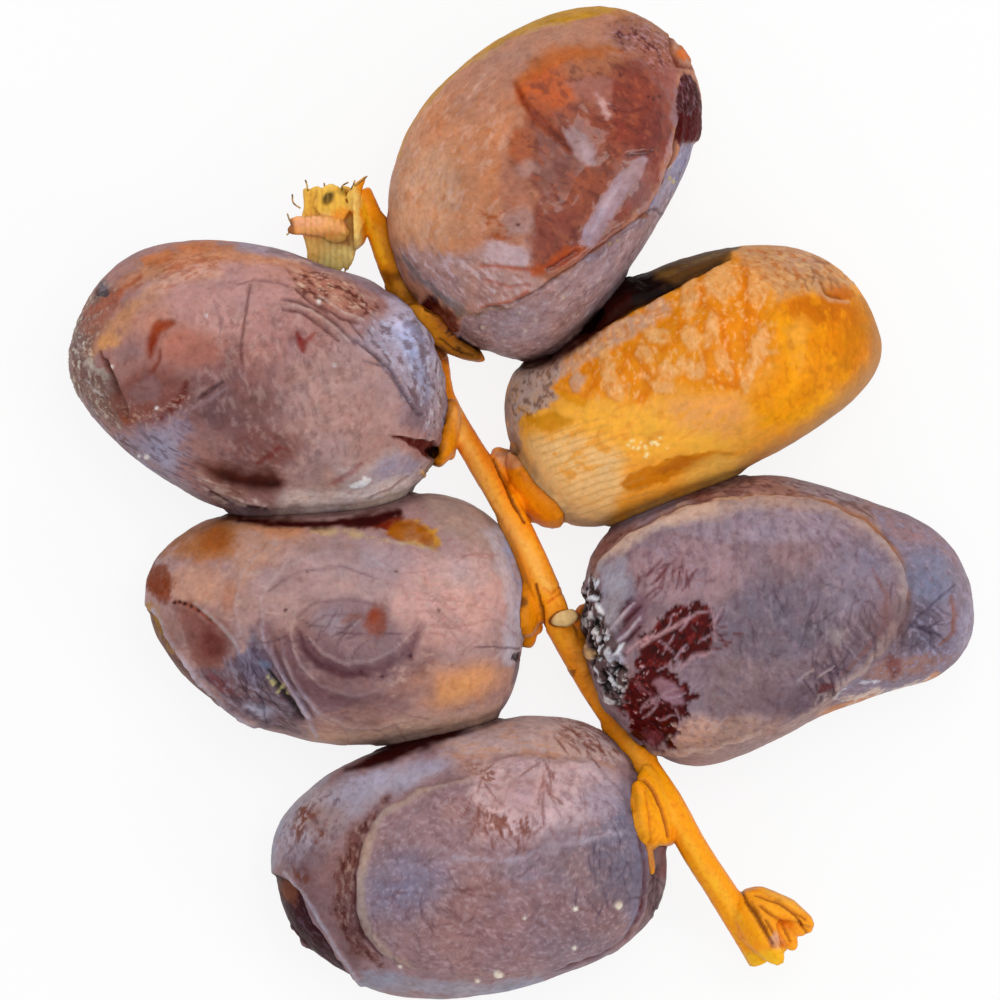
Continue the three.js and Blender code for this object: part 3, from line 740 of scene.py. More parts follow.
def date_left_upper():
    """The pinkish brown date on the upper left, blue with bloom towards the stalk."""
    skin = fruit_surface("date_left_upper", (160, 120, 116), (BLUE_GREY, PLUM), seed=12)
    mark, patches, crease, crinkle, flecks = skin.mark, skin.patches, skin.crease, skin.crinkle, skin.flecks
    patches(
        (640, 240, 330, 150, 0, (186, 142, 136), 0.85, 60),
        (1060, 600, 250, 250, 0, (172, 138, 134), 0.85, 70),
        (610, 620, 190, 130, 10, (118, 84, 82), 0.9, 60),
        (600, 500, 130, 90, 0, (146, 102, 98), 0.7, 50),
        (740, 790, 150, 70, 6, (124, 78, 72), 0.8, 36),
        (940, 900, 130, 110, 0, (164, 134, 130), 0.8, 40),
        (840, 380, 150, 70, 20, (164, 120, 116), 0.7, 40),
    )
    centre = area((500, 300), (900, 260), (1100, 450), (1100, 800), (800, 900), (560, 820), (480, 560))
    flecks(centre, (118, 88, 88), 0.8, 0.24, 0.42, 80, 2)
    flecks(centre, (190, 160, 154), 0.8, 0.22, 0.28, 75, 2)
    mark(stroke(
        (170, 250, 40), (330, 140, 80), (480, 95, 80), (620, 90, 60), (780, 112, 26), (900, 150, 10),
    ), (192, 134, 98), 0.85, soft=20)
    mark(stroke((300, 120, 16), (420, 76, 34), (540, 54, 30), (660, 64, 14)), (182, 110, 60), 0.8, soft=12)
    mark(line(40, (340, 210), (440, 170), (560, 150)), (204, 158, 136), 0.7, soft=20)
    flecks(area(
        (160, 260), (330, 120), (560, 60), (640, 110), (500, 170), (330, 230),
    ), (160, 88, 60), 0.7, 0.3, 0.6, -30, 3)
    mark(line(
        44, (650, 52), (800, 75), (950, 125), (1100, 180), (1250, 285), (1360, 400),
    ), (160, 146, 160), 0.8)
    mark(line(10, (740, 90), (870, 128), (1010, 186), (1130, 262)), (196, 176, 172), 0.6, soft=8, rise=0.12)
    mark(line(12, (760, 74), (860, 92), (970, 138)), (116, 84, 84), 0.6, soft=8)
    # Salmon, rust and crumpled skin by the tip
    tip = area(
        (30, 560), (30, 420), (60, 330), (100, 265), (140, 200), (220, 200), (190, 300), (120, 400),
        (130, 480), (210, 560), (250, 660), (230, 720), (110, 640),
    )
    mark(tip, (142, 112, 106), 0.9, soft=20)
    crinkle(tip, (112, 76, 68), (166, 144, 140), 0.16, 1.3, amount=0.6, wet=0.2)
    flecks(tip, (196, 182, 170), 0.6, 0.16, 0.8, 50, 1.6, 14, 0.1)
    mark(stroke(
        (100, 300, 20), (150, 275, 50), (210, 230, 44), (290, 170, 26),
    ), (156, 86, 62), 0.85, soft=14)
    mark(line(44, (105, 350), (150, 320), (210, 270)), (160, 100, 84), 0.7)
    mark(oval(146, 226, 28, 18, -30), (62, 52, 62), 0.95, soft=6, rise=-0.4)
    mark(stroke((120, 214, 4), (150, 204, 9), (178, 206, 4)), (150, 140, 150), 0.7, soft=4)
    mark(stroke(
        (116, 440, 18), (180, 370, 40), (250, 300, 50), (330, 232, 24),
    ), (196, 142, 102), 0.85, soft=40, ragged=40)
    mark(oval(170, 400, 40, 22, -40), (206, 152, 98), 0.7, soft=24)
    mark(oval(236, 436, 56, 34, -10), (148, 116, 116), 0.85, soft=14)
    mark(oval(465, 430, 100, 70), (176, 112, 96), 0.7, soft=50, ragged=50)
    mark(oval(330, 320, 80, 40, -30), (186, 136, 122), 0.7, soft=24)
    mark(stroke((100, 470, 20), (140, 500, 36), (170, 520, 16)), (182, 170, 160), 0.8, soft=8)
    mark(stroke((108, 545, 10), (140, 580, 18), (170, 606, 8)), (204, 196, 196), 0.85, soft=5, rise=0.15)
    crease((66, 28, 30), (168, 470, 8), (198, 550, 16), (224, 620, 20), (250, 680, 8), depth=0.3)
    crease((112, 56, 48), (150, 440, 6), (176, 500, 10), (186, 540, 6), depth=0.15)
    crease(
        (134, 54, 24), (402, 334, 12), (352, 352, 24), (336, 396, 36), (322, 455, 12), depth=0.18,
        amount=0.95,
    )
    mark(oval(372, 346, 44, 20, -25), (150, 74, 44), 0.85, soft=14)
    crease((130, 54, 36), (282, 545, 10), (330, 512, 16), (356, 470, 8), (360, 430, 4), depth=0.15)
    mark(oval(320, 610, 140, 110, -20), (126, 76, 68), 0.85, soft=44)
    mark(oval(300, 580, 60, 44, -20), (138, 106, 108), 0.8, soft=22, rise=-0.2)
    crease(
        (112, 46, 38), (454, 548, 10), (444, 590, 22), (410, 640, 22), (350, 690, 14), (290, 700, 8),
        depth=0.2,
    )
    mark(stroke((230, 660, 20), (290, 690, 34), (350, 690, 20)), (140, 82, 60), 0.8, soft=12)
    flecks(area(
        (230, 640), (340, 640), (470, 560), (480, 640), (380, 730), (260, 730),
    ), (186, 150, 136), 0.5, 0.22, 0.7)
    crease((78, 50, 54), (498, 606, 8), (540, 576, 14), (586, 548, 6), depth=0.2)
    crease((160, 128, 130), (480, 640, 8), (540, 610, 10), (600, 570, 6), depth=-0.1, amount=0.6)
    # The seam across the middle, and the scaly patch near the stalk with folds below it
    crease(
        (112, 70, 68), (684, 200, 4), (672, 290, 6), (656, 380, 7), (650, 440, 8), (660, 510, 6),
        depth=0.12,
    )
    crease((134, 96, 98), (640, 200, 4), (700, 182, 6), (800, 196, 6), (890, 236, 5), depth=0.08, amount=0.7)
    crease((140, 104, 108), (560, 260, 3), (580, 340, 5), (575, 420, 3), depth=0.06, amount=0.5)
    scaly = area(
        (820, 150), (930, 158), (1040, 200), (1150, 282), (1140, 310), (1060, 310), (980, 290), (900, 240),
        (840, 210),
    )
    mark(scaly, (164, 112, 98), 0.85, soft=24, ragged=30)
    flecks(scaly, (200, 170, 154), 0.6, 0.26, 0.75, 30, 1.8, 20, 0.08)
    flecks(scaly, (96, 44, 36), 0.7, 0.3, 0.85, 20, 1.4, 14)
    mark(oval(1000, 250, 50, 24, 30), (196, 150, 134), 0.6, soft=10)
    for path in (
        ((800, 250, 4), (860, 262, 9), (930, 300, 12), (1000, 350, 12), (1062, 412, 6)),
        ((800, 286, 4), (870, 300, 8), (940, 350, 9), (1000, 400, 6)),
        ((850, 220, 5), (900, 262, 10), (960, 300, 8)),
        ((930, 270, 4), (1010, 320, 9), (1070, 336, 6)),
        ((1040, 330, 4), (1090, 390, 7), (1120, 440, 5)),
    ):
        crease((106, 66, 66), *path, depth=0.18, amount=0.85)
    for path in (
        ((820, 270, 4), (900, 290, 8), (980, 345, 8), (1040, 400, 5)),
        ((930, 240, 4), (1020, 300, 7), (1090, 325, 5)),
    ):
        crease((196, 170, 164), *path, depth=-0.1, amount=0.7, lip=0)
    crease((128, 40, 34), (852, 372, 10), (868, 408, 26), (876, 440, 8), depth=0.15, amount=0.95)
    crease((140, 62, 52), (868, 410, 10), (905, 384, 12), (920, 372, 5), depth=0.08)
    # The shoulder towards the stalk, blue with bloom
    shoulder = area(
        (1140, 300), (1250, 320), (1370, 430), (1420, 560), (1390, 700), (1330, 745), (1260, 660),
        (1222, 570), (1130, 450), (1070, 410),
    )
    mark(shoulder, (172, 156, 168), 0.9, soft=40, ragged=44, rise=-0.3, dust=0.9)
    swelling = stroke((1200, 262, 20), (1232, 310, 90), (1280, 385, 100), (1330, 460, 40))
    mark(swelling, (160, 152, 170), 0.4, soft=46, ragged=6, rise=1.35)
    mark(stroke(
        (1150, 330, 16), (1240, 400, 34), (1290, 500, 44), (1330, 600, 30),
    ), (160, 158, 182), 0.8, soft=16)
    mark(oval(1236, 340, 56, 90, -36), (196, 186, 208), 0.85, soft=30)
    mark(line(40, (1090, 130), (1230, 214), (1340, 340), (1384, 440)), (188, 172, 186), 0.75, soft=26)
    mark(oval(1280, 650, 50, 70, 20), (122, 100, 108), 0.8, soft=26)
    mark(line(20, (1262, 330), (1330, 420), (1372, 520)), (160, 156, 174), 0.8, soft=10)
    mark(line(14, (1230, 350), (1290, 440), (1330, 560)), (112, 98, 108), 0.7, soft=8)
    flecks(shoulder, (118, 92, 94), 0.7, 0.24, 0.7, 60, 2.4, 12)
    flecks(shoulder, (192, 184, 196), 0.6, 0.16, 0.6, 60, 2.4, 12)
    crease(
        (98, 74, 82), (1060, 396, 6), (1120, 440, 9), (1180, 490, 11), (1222, 560, 11), (1256, 620, 8),
        (1300, 670, 6), depth=0.3, lip=0.7,
    )
    crease(
        (110, 92, 102), (1090, 470, 4), (1160, 490, 7), (1196, 540, 6), (1230, 600, 4), depth=0.12,
        amount=0.7,
    )
    # The tear by the cap, the pale swelling under it, and a painted glint
    mark(area(
        (1000, 850), (1200, 790), (1320, 840), (1320, 900), (1230, 990), (1040, 1020),
    ), (176, 156, 156), 0.88, soft=30, rise=0.2)
    mark(oval(1200, 850, 80, 40, -10), (154, 140, 158), 0.85, soft=24)
    mark(line(90, (820, 990), (960, 980), (1100, 962), (1230, 926)), (216, 194, 188), 0.85, soft=30)
    mark(line(30, (1020, 1000), (1160, 985), (1270, 930)), (204, 182, 162), 0.8, soft=14)
    mark(oval(1060, 980, 50, 20, -10), (196, 156, 140), 0.6, soft=14)
    mark(area(
        (1180, 744), (1262, 746), (1345, 766), (1370, 796), (1350, 832), (1316, 824), (1282, 784),
    ), (92, 26, 18), 0.97, soft=4, ragged=4, rise=-0.6, wet=0, dust=0)
    mark(stroke((1186, 742, 3), (1262, 742, 6), (1340, 762, 4)), (190, 158, 150), 0.6, soft=3)
    mark(oval(1340, 806, 14, 12), (48, 12, 10), 0.95, soft=6, ragged=4, rise=-0.2, dust=0)
    mark(area((1296, 850), (1340, 840), (1344, 890), (1310, 900)), (112, 84, 60), 0.85, soft=7)
    for x, y in ((1305, 880), (1322, 868), (1330, 885), (1316, 892), (1296, 866), (1338, 860)):
        skin.speck((206, 164, 96), x, y, 6, 0.15)
    # Painted glint: a small white highlight on the swelling, with a slightly raised speck under it
    mark(oval(1078, 898, 34, 12, -25), (216, 210, 212), 0.95, soft=5, ragged=8, rise=0.1)
    skin.speck(WHITE_FILM_AND_GLINT, 1092, 886, 8)
    crease((146, 94, 96), (985, 912, 10), (1030, 880, 14), (1085, 840, 10), depth=0.12, amount=0.75)
    crease((128, 92, 94), (1110, 960, 4), (1180, 930, 7), (1250, 880, 4), depth=0.1, amount=0.6)
    # The dark dimple on the lower side, with folds under it
    mark(area(
        (500, 836), (600, 842), (680, 866), (760, 870), (806, 905), (790, 950), (720, 956), (620, 925),
        (545, 890),
    ), (92, 48, 42), 1.1, soft=34, ragged=16, rise=-0.3, wet=0, dust=0)
    mark(stroke((590, 880, 16), (660, 912, 34), (740, 922, 30), (780, 920, 12)), (56, 22, 20), 0.9, soft=24)
    mark(stroke((490, 900, 8), (560, 952, 26), (640, 990, 26), (720, 1006, 10)), (112, 82, 82), 0.8, soft=12)
    crease(
        (176, 150, 146), (490, 866, 6), (560, 930, 9), (640, 972, 10), (740, 990, 6), depth=-0.15,
        amount=0.5,
    )
    crease((74, 44, 44), (540, 940, 6), (610, 974, 12), (680, 1000, 10), (740, 1006, 5), depth=0.2)
    flecks(area(
        (500, 890), (560, 900), (720, 980), (760, 1020), (640, 1010), (540, 960),
    ), (196, 172, 164), 0.5, 0.28, 0.85, 25, 3, 12)
    crease(
        (122, 56, 54), (712, 836, 8), (760, 812, 14), (790, 780, 8), (812, 786, 4), depth=0.12,
        amount=0.85,
    )
    # Lower left, blue with bloom, and the rim under it
    mark(area(
        (190, 740), (330, 700), (440, 650), (450, 760), (430, 860), (500, 950), (400, 930), (280, 840),
    ), (150, 138, 156), 0.92, soft=60, ragged=60, dust=0.9)
    mark(oval(370, 800, 70, 50, 40), (160, 152, 172), 0.8, soft=20)
    mark(line(
        40, (70, 620), (190, 770), (330, 875), (500, 968), (640, 1024), (800, 1046), (1000, 1042),
        (1180, 1006),
    ), (148, 136, 146), 0.6)
    flecks(area(
        (200, 740), (480, 680), (500, 900), (640, 1020), (420, 950), (260, 830),
    ), (112, 92, 106), 0.7, 0.22, 0.7, 35, 2.4)
    flecks(area(
        (80, 620), (200, 700), (280, 800), (240, 800), (120, 700),
    ), (120, 76, 58), 0.5, 0.3, 0.8, 45, 1.5, 12)
    for x, y, radius in (
        (315, 815, 9), (990, 490, 7), (190, 492, 7), (350, 640, 6), (930, 262, 7), (286, 812, 5),
        (530, 310, 5),
    ):
        skin.speck(WHITE_FILM_AND_GLINT, x, y, radius, 0.05)
    # Soft veils over the larger patches
    patches(
        (600, 955, 110, 40, 0, (104, 74, 70), 0.5, 42),
        (800, 1050, 130, 40, 0, (114, 82, 78), 0.5, 42),
        (150, 550, 60, 60, 0, (120, 90, 84), 0.5, 42),
    )
    return skin.finish(contrast=1.2, tint=(1.03, 1.02, 1.02))


def date_right_upper():
    """The half-ripe amber date on the upper right, its tan skin lifted in islands."""
    skin = fruit_surface("date_right_upper", (236, 158, 66), ((206, 146, 84), (190, 128, 60)), seed=13)
    mark, patches, crease, flecks, wisps = skin.mark, skin.patches, skin.crease, skin.flecks, skin.wisps
    # Yellow, orange and pinkish fields of the half-ripe side
    right = area(
        (930, 620), (1020, 520), (1000, 330), (1040, 250), (1200, 240), (1340, 290), (1430, 400),
        (1430, 500), (1340, 580), (1240, 570), (1150, 640), (1060, 720), (980, 700),
    )
    mark(right, (234, 146, 6), 0.95, soft=40, sway=1, dust=0.1)
    mark(oval(1290, 430, 110, 110), (220, 130, 2), 0.7, soft=50)
    mark(oval(1190, 290, 150, 50, 4), (206, 112, 2), 0.85, soft=30)
    mark(line(
        40, (960, 300), (1060, 340), (1060, 440), (1090, 540), (1060, 620),
    ), (248, 168, 30), 0.6, soft=30, sway=1)
    mark(oval(1110, 420, 44, 90), (240, 166, 74), 0.75, soft=24, sway=1)
    mark(line(40, (1000, 700), (1100, 680), (1240, 590)), (244, 166, 24), 0.7, soft=20, sway=1)
    flecks(right, (244, 162, 28), 1.2, 0.26, 0.5, 80, 2)
    flecks(right, (204, 116, 2), 1.0, 0.2, 0.5, 80, 2)
    mark(area(
        (140, 640), (360, 600), (600, 620), (760, 700), (900, 760), (760, 820), (420, 800), (150, 730),
    ), (244, 174, 74), 0.85, soft=40, sway=1)
    mark(area(
        (600, 640), (740, 600), (900, 600), (940, 680), (860, 730), (680, 720),
    ), (230, 158, 98), 0.8, soft=34, sway=1)
    mark(area(
        (120, 760), (300, 720), (480, 800), (490, 900), (420, 1070), (280, 1060), (190, 950),
    ), (240, 188, 134), 0.9, soft=34)
    lower = area(
        (200, 660), (500, 620), (900, 620), (1000, 700), (860, 800), (560, 820), (300, 900), (180, 800),
    )
    flecks(lower, (246, 186, 112), 0.9, 0.26, 0.6, -20, 2.2)
    flecks(lower, (232, 144, 28), 0.9, 0.24, 0.6, -20, 2.2)
    # Tan skin lifted off the flesh in islands, with deep amber between them
    field = area(
        (225, 545), (300, 430), (400, 360), (560, 260), (700, 190), (860, 125), (980, 110), (1020, 250),
        (1020, 480), (900, 590), (700, 560), (560, 620), (400, 610), (300, 570),
    )
    mark(field, (232, 142, 28), 0.9, soft=26, sway=1)
    for furrow in (
        line(24, (905, 130), (914, 210), (930, 300), (920, 420)),
        line(24, (764, 190), (775, 260), (836, 310), (846, 400), (874, 490), (890, 560)),
        line(18, (650, 300), (690, 330), (664, 390), (610, 440), (560, 430)),
        line(26, (524, 440), (556, 510), (580, 580), (540, 604)),
        line(22, (372, 470), (378, 550), (338, 600), (272, 580), (236, 552)),
        line(18, (790, 430), (770, 500), (810, 540), (870, 560)),
        line(16, (480, 520), (500, 470), (494, 430)),
        line(14, (960, 320), (1000, 390), (980, 470)),
    ):
        mark(furrow, (220, 122, 4), 0.9, soft=14, ragged=18, sway=0.8)
    for x, y, wide, tall, turn, colour in (
        (725, 240, 40, 62, 10, TAN_ISLAND),
        (835, 195, 56, 62, 0, TAN_ISLAND),
        (965, 200, 42, 76, 0, TAN_ISLAND),
        (605, 290, 62, 40, -20, PINK_ISLAND),
        (540, 345, 50, 34, -20, PINK_ISLAND),
        (795, 350, 30, 66, 8, TAN_ISLAND),
        (730, 395, 34, 50, -30, TAN_ISLAND),
        (975, 420, 30, 80, 12, TAN_ISLAND),
        (600, 385, 56, 32, 10, TAN_ISLAND),
        (478, 376, 66, 38, -24, PINK_ISLAND),
        (400, 420, 50, 34, -30, PINK_ISLAND),
        (300, 470, 80, 46, -36, PINK_ISLAND),
        (430, 510, 32, 84, -6, TAN_ISLAND),
        (560, 450, 30, 30, 0, TAN_ISLAND),
        (650, 512, 50, 34, 20, TAN_ISLAND),
        (735, 500, 50, 30, 20, TAN_ISLAND),
        (620, 570, 44, 30, 0, TAN_ISLAND),
        (325, 545, 26, 44, 20, PINK_ISLAND),
        (460, 590, 34, 26, 0, TAN_ISLAND),
        (845, 470, 20, 50, -20, TAN_ISLAND),
        (930, 520, 24, 54, 20, TAN_ISLAND),
    ):
        mark(oval(x, y, wide, tall, turn), colour, 0.95, soft=12, ragged=24, sway=0.8, rise=0.26)
    flecks(field, (246, 190, 140), 0.6, 0.2, 0.5, 80, 1.6)
    flecks(field, (224, 130, 20), 0.7, 0.22, 0.5, 80, 1.6)
    # Pale puckered skin over the tip
    pale = area(
        (880, 80), (950, 40), (1100, 46), (1210, 100), (1310, 190), (1260, 226), (1160, 222), (1040, 240),
        (1000, 200), (960, 130), (900, 130),
    )
    mark(pale, (204, 146, 106), 0.9, soft=22, ragged=30)
    mark(oval(1120, 110, 90, 40, 20), (194, 146, 122), 0.7, soft=34)
    flecks(pale, (222, 168, 120), 0.7, 0.28, 0.7, 30, 2)
    flecks(pale, (196, 108, 40), 0.6, 0.22, 0.7, 40, 1.6)
    mark(oval(1248, 236, 60, 28, 10), (200, 104, 8), 0.85, soft=14)
    crease((212, 158, 120), (1165, 165, 6), (1180, 220, 10), (1220, 256, 8), (1290, 262, 6), depth=-0.12)
    crease((214, 160, 118), (1190, 130, 6), (1230, 180, 8), (1300, 196, 6), depth=-0.1)
    crease((158, 92, 48), (1190, 190, 5), (1210, 235, 7), (1260, 250, 5), depth=0.1)
    wisps((168, 110, 76), (1150, 130), (80, 40), 14, 60, 40, 4)
    # Clear patches low on the side and by the cap
    mark(
        area(
            (460, 905), (530, 862), (640, 828), (760, 806), (880, 796), (850, 824), (760, 858), (700, 880),
            (600, 925), (540, 948), (480, 940),
        ),
        (208, 126, 0), 0.97, soft=7, ragged=16, sway=0.5, patchy=0.1, rise=-0.1, wet=0.2, dust=0,
    )
    mark(oval(670, 856, 90, 18, -18), (186, 104, 0), 0.7, soft=12)
    mark(area(
        (112, 650), (160, 664), (220, 650), (290, 690), (210, 722), (135, 712),
    ), (214, 138, 14), 0.9, soft=12)
    mark(area(
        (232, 556), (290, 590), (350, 610), (350, 640), (280, 626), (240, 596),
    ), (226, 146, 10), 0.9, soft=9)
    # Grey cap end and the edges
    mark(
        area(
            (40, 650), (60, 540), (110, 480), (240, 440), (270, 500), (230, 560), (240, 600), (180, 650),
            (120, 640), (110, 700), (90, 790),
        ),
        (190, 156, 144), 0.93, soft=14, ragged=40,
    )
    mark(line(24, (56, 540), (46, 630), (62, 720), (90, 790)), (130, 100, 92), 0.7, soft=14)
    flecks(area(
        (60, 520), (240, 440), (270, 500), (200, 640), (80, 700),
    ), (196, 164, 152), 0.6, 0.3, 0.7, 40, 1.6, 14)
    flecks(area(
        (60, 520), (240, 440), (270, 500), (200, 640), (80, 700),
    ), (130, 88, 70), 0.7, 0.26, 0.7, 40, 1.6, 14)
    mark(line(26, (100, 790), (190, 930), (290, 1040), (430, 1080)), (176, 138, 108), 0.75, soft=16)
    mark(line(40, (430, 1066), (600, 1000), (780, 920), (900, 860)), (206, 154, 106), 0.8, soft=16)
    # Painted shade along the lower edge, where the fruit below touches
    mark(line(12, (430, 1080), (600, 1016), (780, 940), (870, 886)), (112, 60, 46), 0.8, soft=9)
    mark(line(
        84, (1400, 360), (1396, 470), (1340, 570), (1230, 672), (1090, 774), (930, 856),
    ), (190, 134, 92), 0.85, soft=34)
    mark(line(20, (1400, 500), (1340, 610), (1200, 700)), (180, 132, 102), 0.6, soft=14)
    mark(oval(800, 860, 110, 40, -20), (236, 178, 96), 0.7, soft=26)
    mark(line(20, (1340, 250), (1400, 350), (1414, 430)), (200, 132, 60), 0.7, soft=12)
    # The side wall beyond the ridge, with painted shadow where the next fruit leans over it and under the
    # ridge
    mark(area(
        (80, 490), (230, 446), (370, 362), (540, 268), (700, 182), (830, 120), (890, 70), (910, 40),
        (700, 80), (480, 150), (260, 260), (60, 420),
    ), (120, 80, 44), 1.1, soft=8, ragged=6, sway=0, rise=-0.1, dust=0)
    mark(line(16, (560, 190), (700, 130), (820, 84)), (150, 106, 44), 0.85, soft=9, sway=0)
    mark(line(12, (620, 140), (760, 92), (880, 60)), (92, 64, 34), 0.85, soft=8, sway=0)
    # Painted shadow of the next fruit over the wall
    mark(
        area(
            (80, 490), (230, 446), (370, 362), (540, 268), (680, 200), (600, 180), (540, 110), (300, 200),
            (60, 400),
        ),
        (40, 10, 6), 1.2, soft=20, sway=0, dust=0,
    )
    # Painted shadow under the overhanging ridge, in a sunken crease
    crease(
        (40, 14, 10), (360, 366, 16), (460, 310, 22), (560, 256, 24), (640, 212, 18), (740, 164, 14),
        (860, 104, 8), depth=0.4, lip=0.4,
    )
    # Painted shadow along the next fruit's edge
    mark(stroke(
        (500, 258, 36), (440, 306, 50), (360, 376, 60), (280, 428, 60), (180, 470, 50), (110, 492, 24),
    ), (70, 28, 18), 1.15, soft=14, ragged=10, sway=0, dust=0)
    mark(oval(470, 226, 80, 60, -30), None, rise=0.6, soft=40)
    # Faint lines, and painted glints of light on the lower side
    for index in range(12):
        x, y = 150 + 16 * index, 760 + 24 * index
        crease((206, 144, 78), (x, y, 3), (x + 110, y - 40, 4), (x + 260, y - 84, 3), depth=0.03, amount=0.5)
    # Painted glints: a cluster of small bright specks
    draw = np.random.default_rng(130)
    for x, y in draw.normal((556, 782), (34, 22), (18, 2)):
        skin.speck((252, 222, 168), x, y, draw.uniform(3, 6), 0.03)
    # Soft veils over the larger patches, one of them painted light
    patches(
        (110, 370, 110, 56, -20, (198, 170, 162), 0.5, 42),
        # Painted light: lifts the shade that the next fruit casts low on the left
        (205, 450, 90, 40, -30, (156, 108, 94), 0.5, 42),
        (1330, 340, 60, 100, 20, (190, 112, 22), 0.5, 42),
    )
    return skin.finish(wrinkle=0.03, mottle=0.6, veins=0, contrast=1.25, tint=(0.945, 0.965, 0.81))


def date_right_lower():
    """The dark date on the lower right, with a raised round of skin, a wound and a lobe."""
    skin = fruit_surface("date_right_lower", (140, 116, 124), (PLUM, (150, 120, 118)), seed=14)
    mark, patches, crease = skin.mark, skin.patches, skin.crease
    flecks, wisps = skin.flecks, skin.wisps
    # The margin above the raised round of skin
    margin = area(
        (40, 330), (200, 230), (400, 140), (570, 50), (800, 40), (920, 80), (1080, 150), (1200, 215),
        (1060, 225), (860, 160), (600, 150), (400, 190), (200, 290), (80, 430),
    )
    mark(margin, (156, 122, 116), 0.92, soft=14)
    mark(area(
        (60, 330), (200, 220), (360, 150), (500, 80), (520, 130), (380, 190), (200, 290), (90, 400),
    ), (132, 86, 76), 0.75, soft=20)
    mark(oval(900, 110, 140, 30, 16), (152, 136, 144), 0.8)
    mark(oval(650, 60, 150, 22, 0), (160, 124, 120), 0.7)
    flecks(margin, (98, 58, 58), 0.7, 0.3, 0.6, 20, 2, 14)
    # Colours inside it
    patches(
        (600, 230, 420, 70, 3, (154, 138, 152), 0.8, 40),
        (430, 400, 200, 110, 0, (162, 128, 132), 0.8, 60),
        (760, 590, 260, 160, -20, (114, 102, 114), 0.92, 90),
        (1020, 420, 130, 130, 0, (134, 122, 138), 0.7, 50),
        (1040, 680, 120, 110, 0, (112, 94, 102), 0.8, 50),
        (640, 860, 240, 120, -20, (136, 114, 118), 0.8, 60),
        (880, 830, 120, 60, -30, (112, 90, 96), 0.7, 44),
        (540, 980, 200, 50, -16, (166, 132, 118), 0.85, 30),
        (430, 958, 100, 44, -10, (206, 160, 142), 0.85, 34),
    )
    round_edge = area(
        (90, 470), (120, 370), (210, 280), (330, 215), (480, 165), (640, 140), (800, 142), (940, 172),
        (1060, 225), (1150, 300), (1205, 400), (1215, 490), (1190, 590), (1130, 690), (1040, 770),
        (950, 850), (830, 915), (690, 975), (540, 1030), (400, 1060), (280, 1040), (150, 900), (80, 700),
    )
    flecks(round_edge, (166, 144, 154), 0.7, 0.2, 0.3, 85, 1.8)
    flecks(round_edge, (98, 74, 90), 0.8, 0.24, 0.34, 80, 1.8)
    mark(round_edge, None, rise=0.5, soft=16, ragged=3)
    mark(stroke(
        (100, 440, 20), (150, 350, 50), (260, 265, 66), (400, 206, 70), (560, 172, 62), (700, 160, 54),
        (850, 170, 50), (970, 204, 50), (1070, 255, 50), (1140, 324, 42), (1184, 400, 36), (1190, 480, 34),
        (1170, 570, 34), (1110, 680, 30), (1030, 760, 24), (940, 836, 20),
    ), (174, 148, 142), 0.85, soft=16, ragged=14, rise=0.12)
    mark(stroke(
        (140, 360, 30), (260, 268, 54), (400, 208, 54), (520, 180, 30),
    ), (200, 172, 160), 0.75, soft=18)
    mark(stroke(
        (110, 400, 8), (200, 290, 12), (330, 214, 14), (480, 164, 14), (640, 142, 12), (800, 146, 8),
    ), (196, 166, 150), 0.8, soft=5)
    mark(line(
        18, (950, 840), (830, 905), (700, 965), (540, 1022), (400, 1050), (290, 1036),
    ), (186, 158, 150), 0.8, soft=10, rise=0.12)
    crease(
        (150, 98, 62), (640, 130, 4), (850, 144, 10), (960, 180, 14), (1060, 228, 16), (1140, 298, 16),
        (1198, 380, 16), (1220, 450, 16), (1208, 550, 12), (1172, 620, 8), depth=0.3, amount=0.95,
    )
    crease(
        (108, 72, 68), (120, 360, 4), (220, 262, 8), (340, 198, 9), (480, 148, 8), (620, 124, 4),
        depth=0.12, amount=0.7,
    )
    crease(
        (138, 100, 100), (1080, 400, 6), (1130, 490, 12), (1128, 590, 12), (1060, 680, 10), (976, 760, 8),
        depth=0.15, amount=0.8,
    )
    # Puckers near the notch
    wisps((84, 68, 80), (950, 560), (60, 70), 20, 110, 80, 3, 0.06, 0.55)
    wisps((74, 58, 72), (900, 740), (34, 34), 12, 100, 60, 4, 0.1)
    wisps((88, 72, 86), (780, 520), (60, 60), 8, 70, 85)
    wisps((88, 72, 86), (1090, 500), (30, 60), 8, 70, 60)
    wisps((160, 144, 154), (960, 620), (50, 60), 6, 60, 80, 3, -0.04, 0.5)
    wisps((176, 156, 158), (960, 790), (60, 30), 6, 70, 120, 4, -0.06)
    mark(oval(958, 640, 22, 34, -20), (168, 156, 162), 0.5, soft=16)
    mark(oval(905, 815, 28, 18, -20), (104, 52, 54), 0.9, soft=8)
    mark(oval(718, 978, 22, 22), (122, 62, 50), 0.92, soft=7, rise=-0.15)
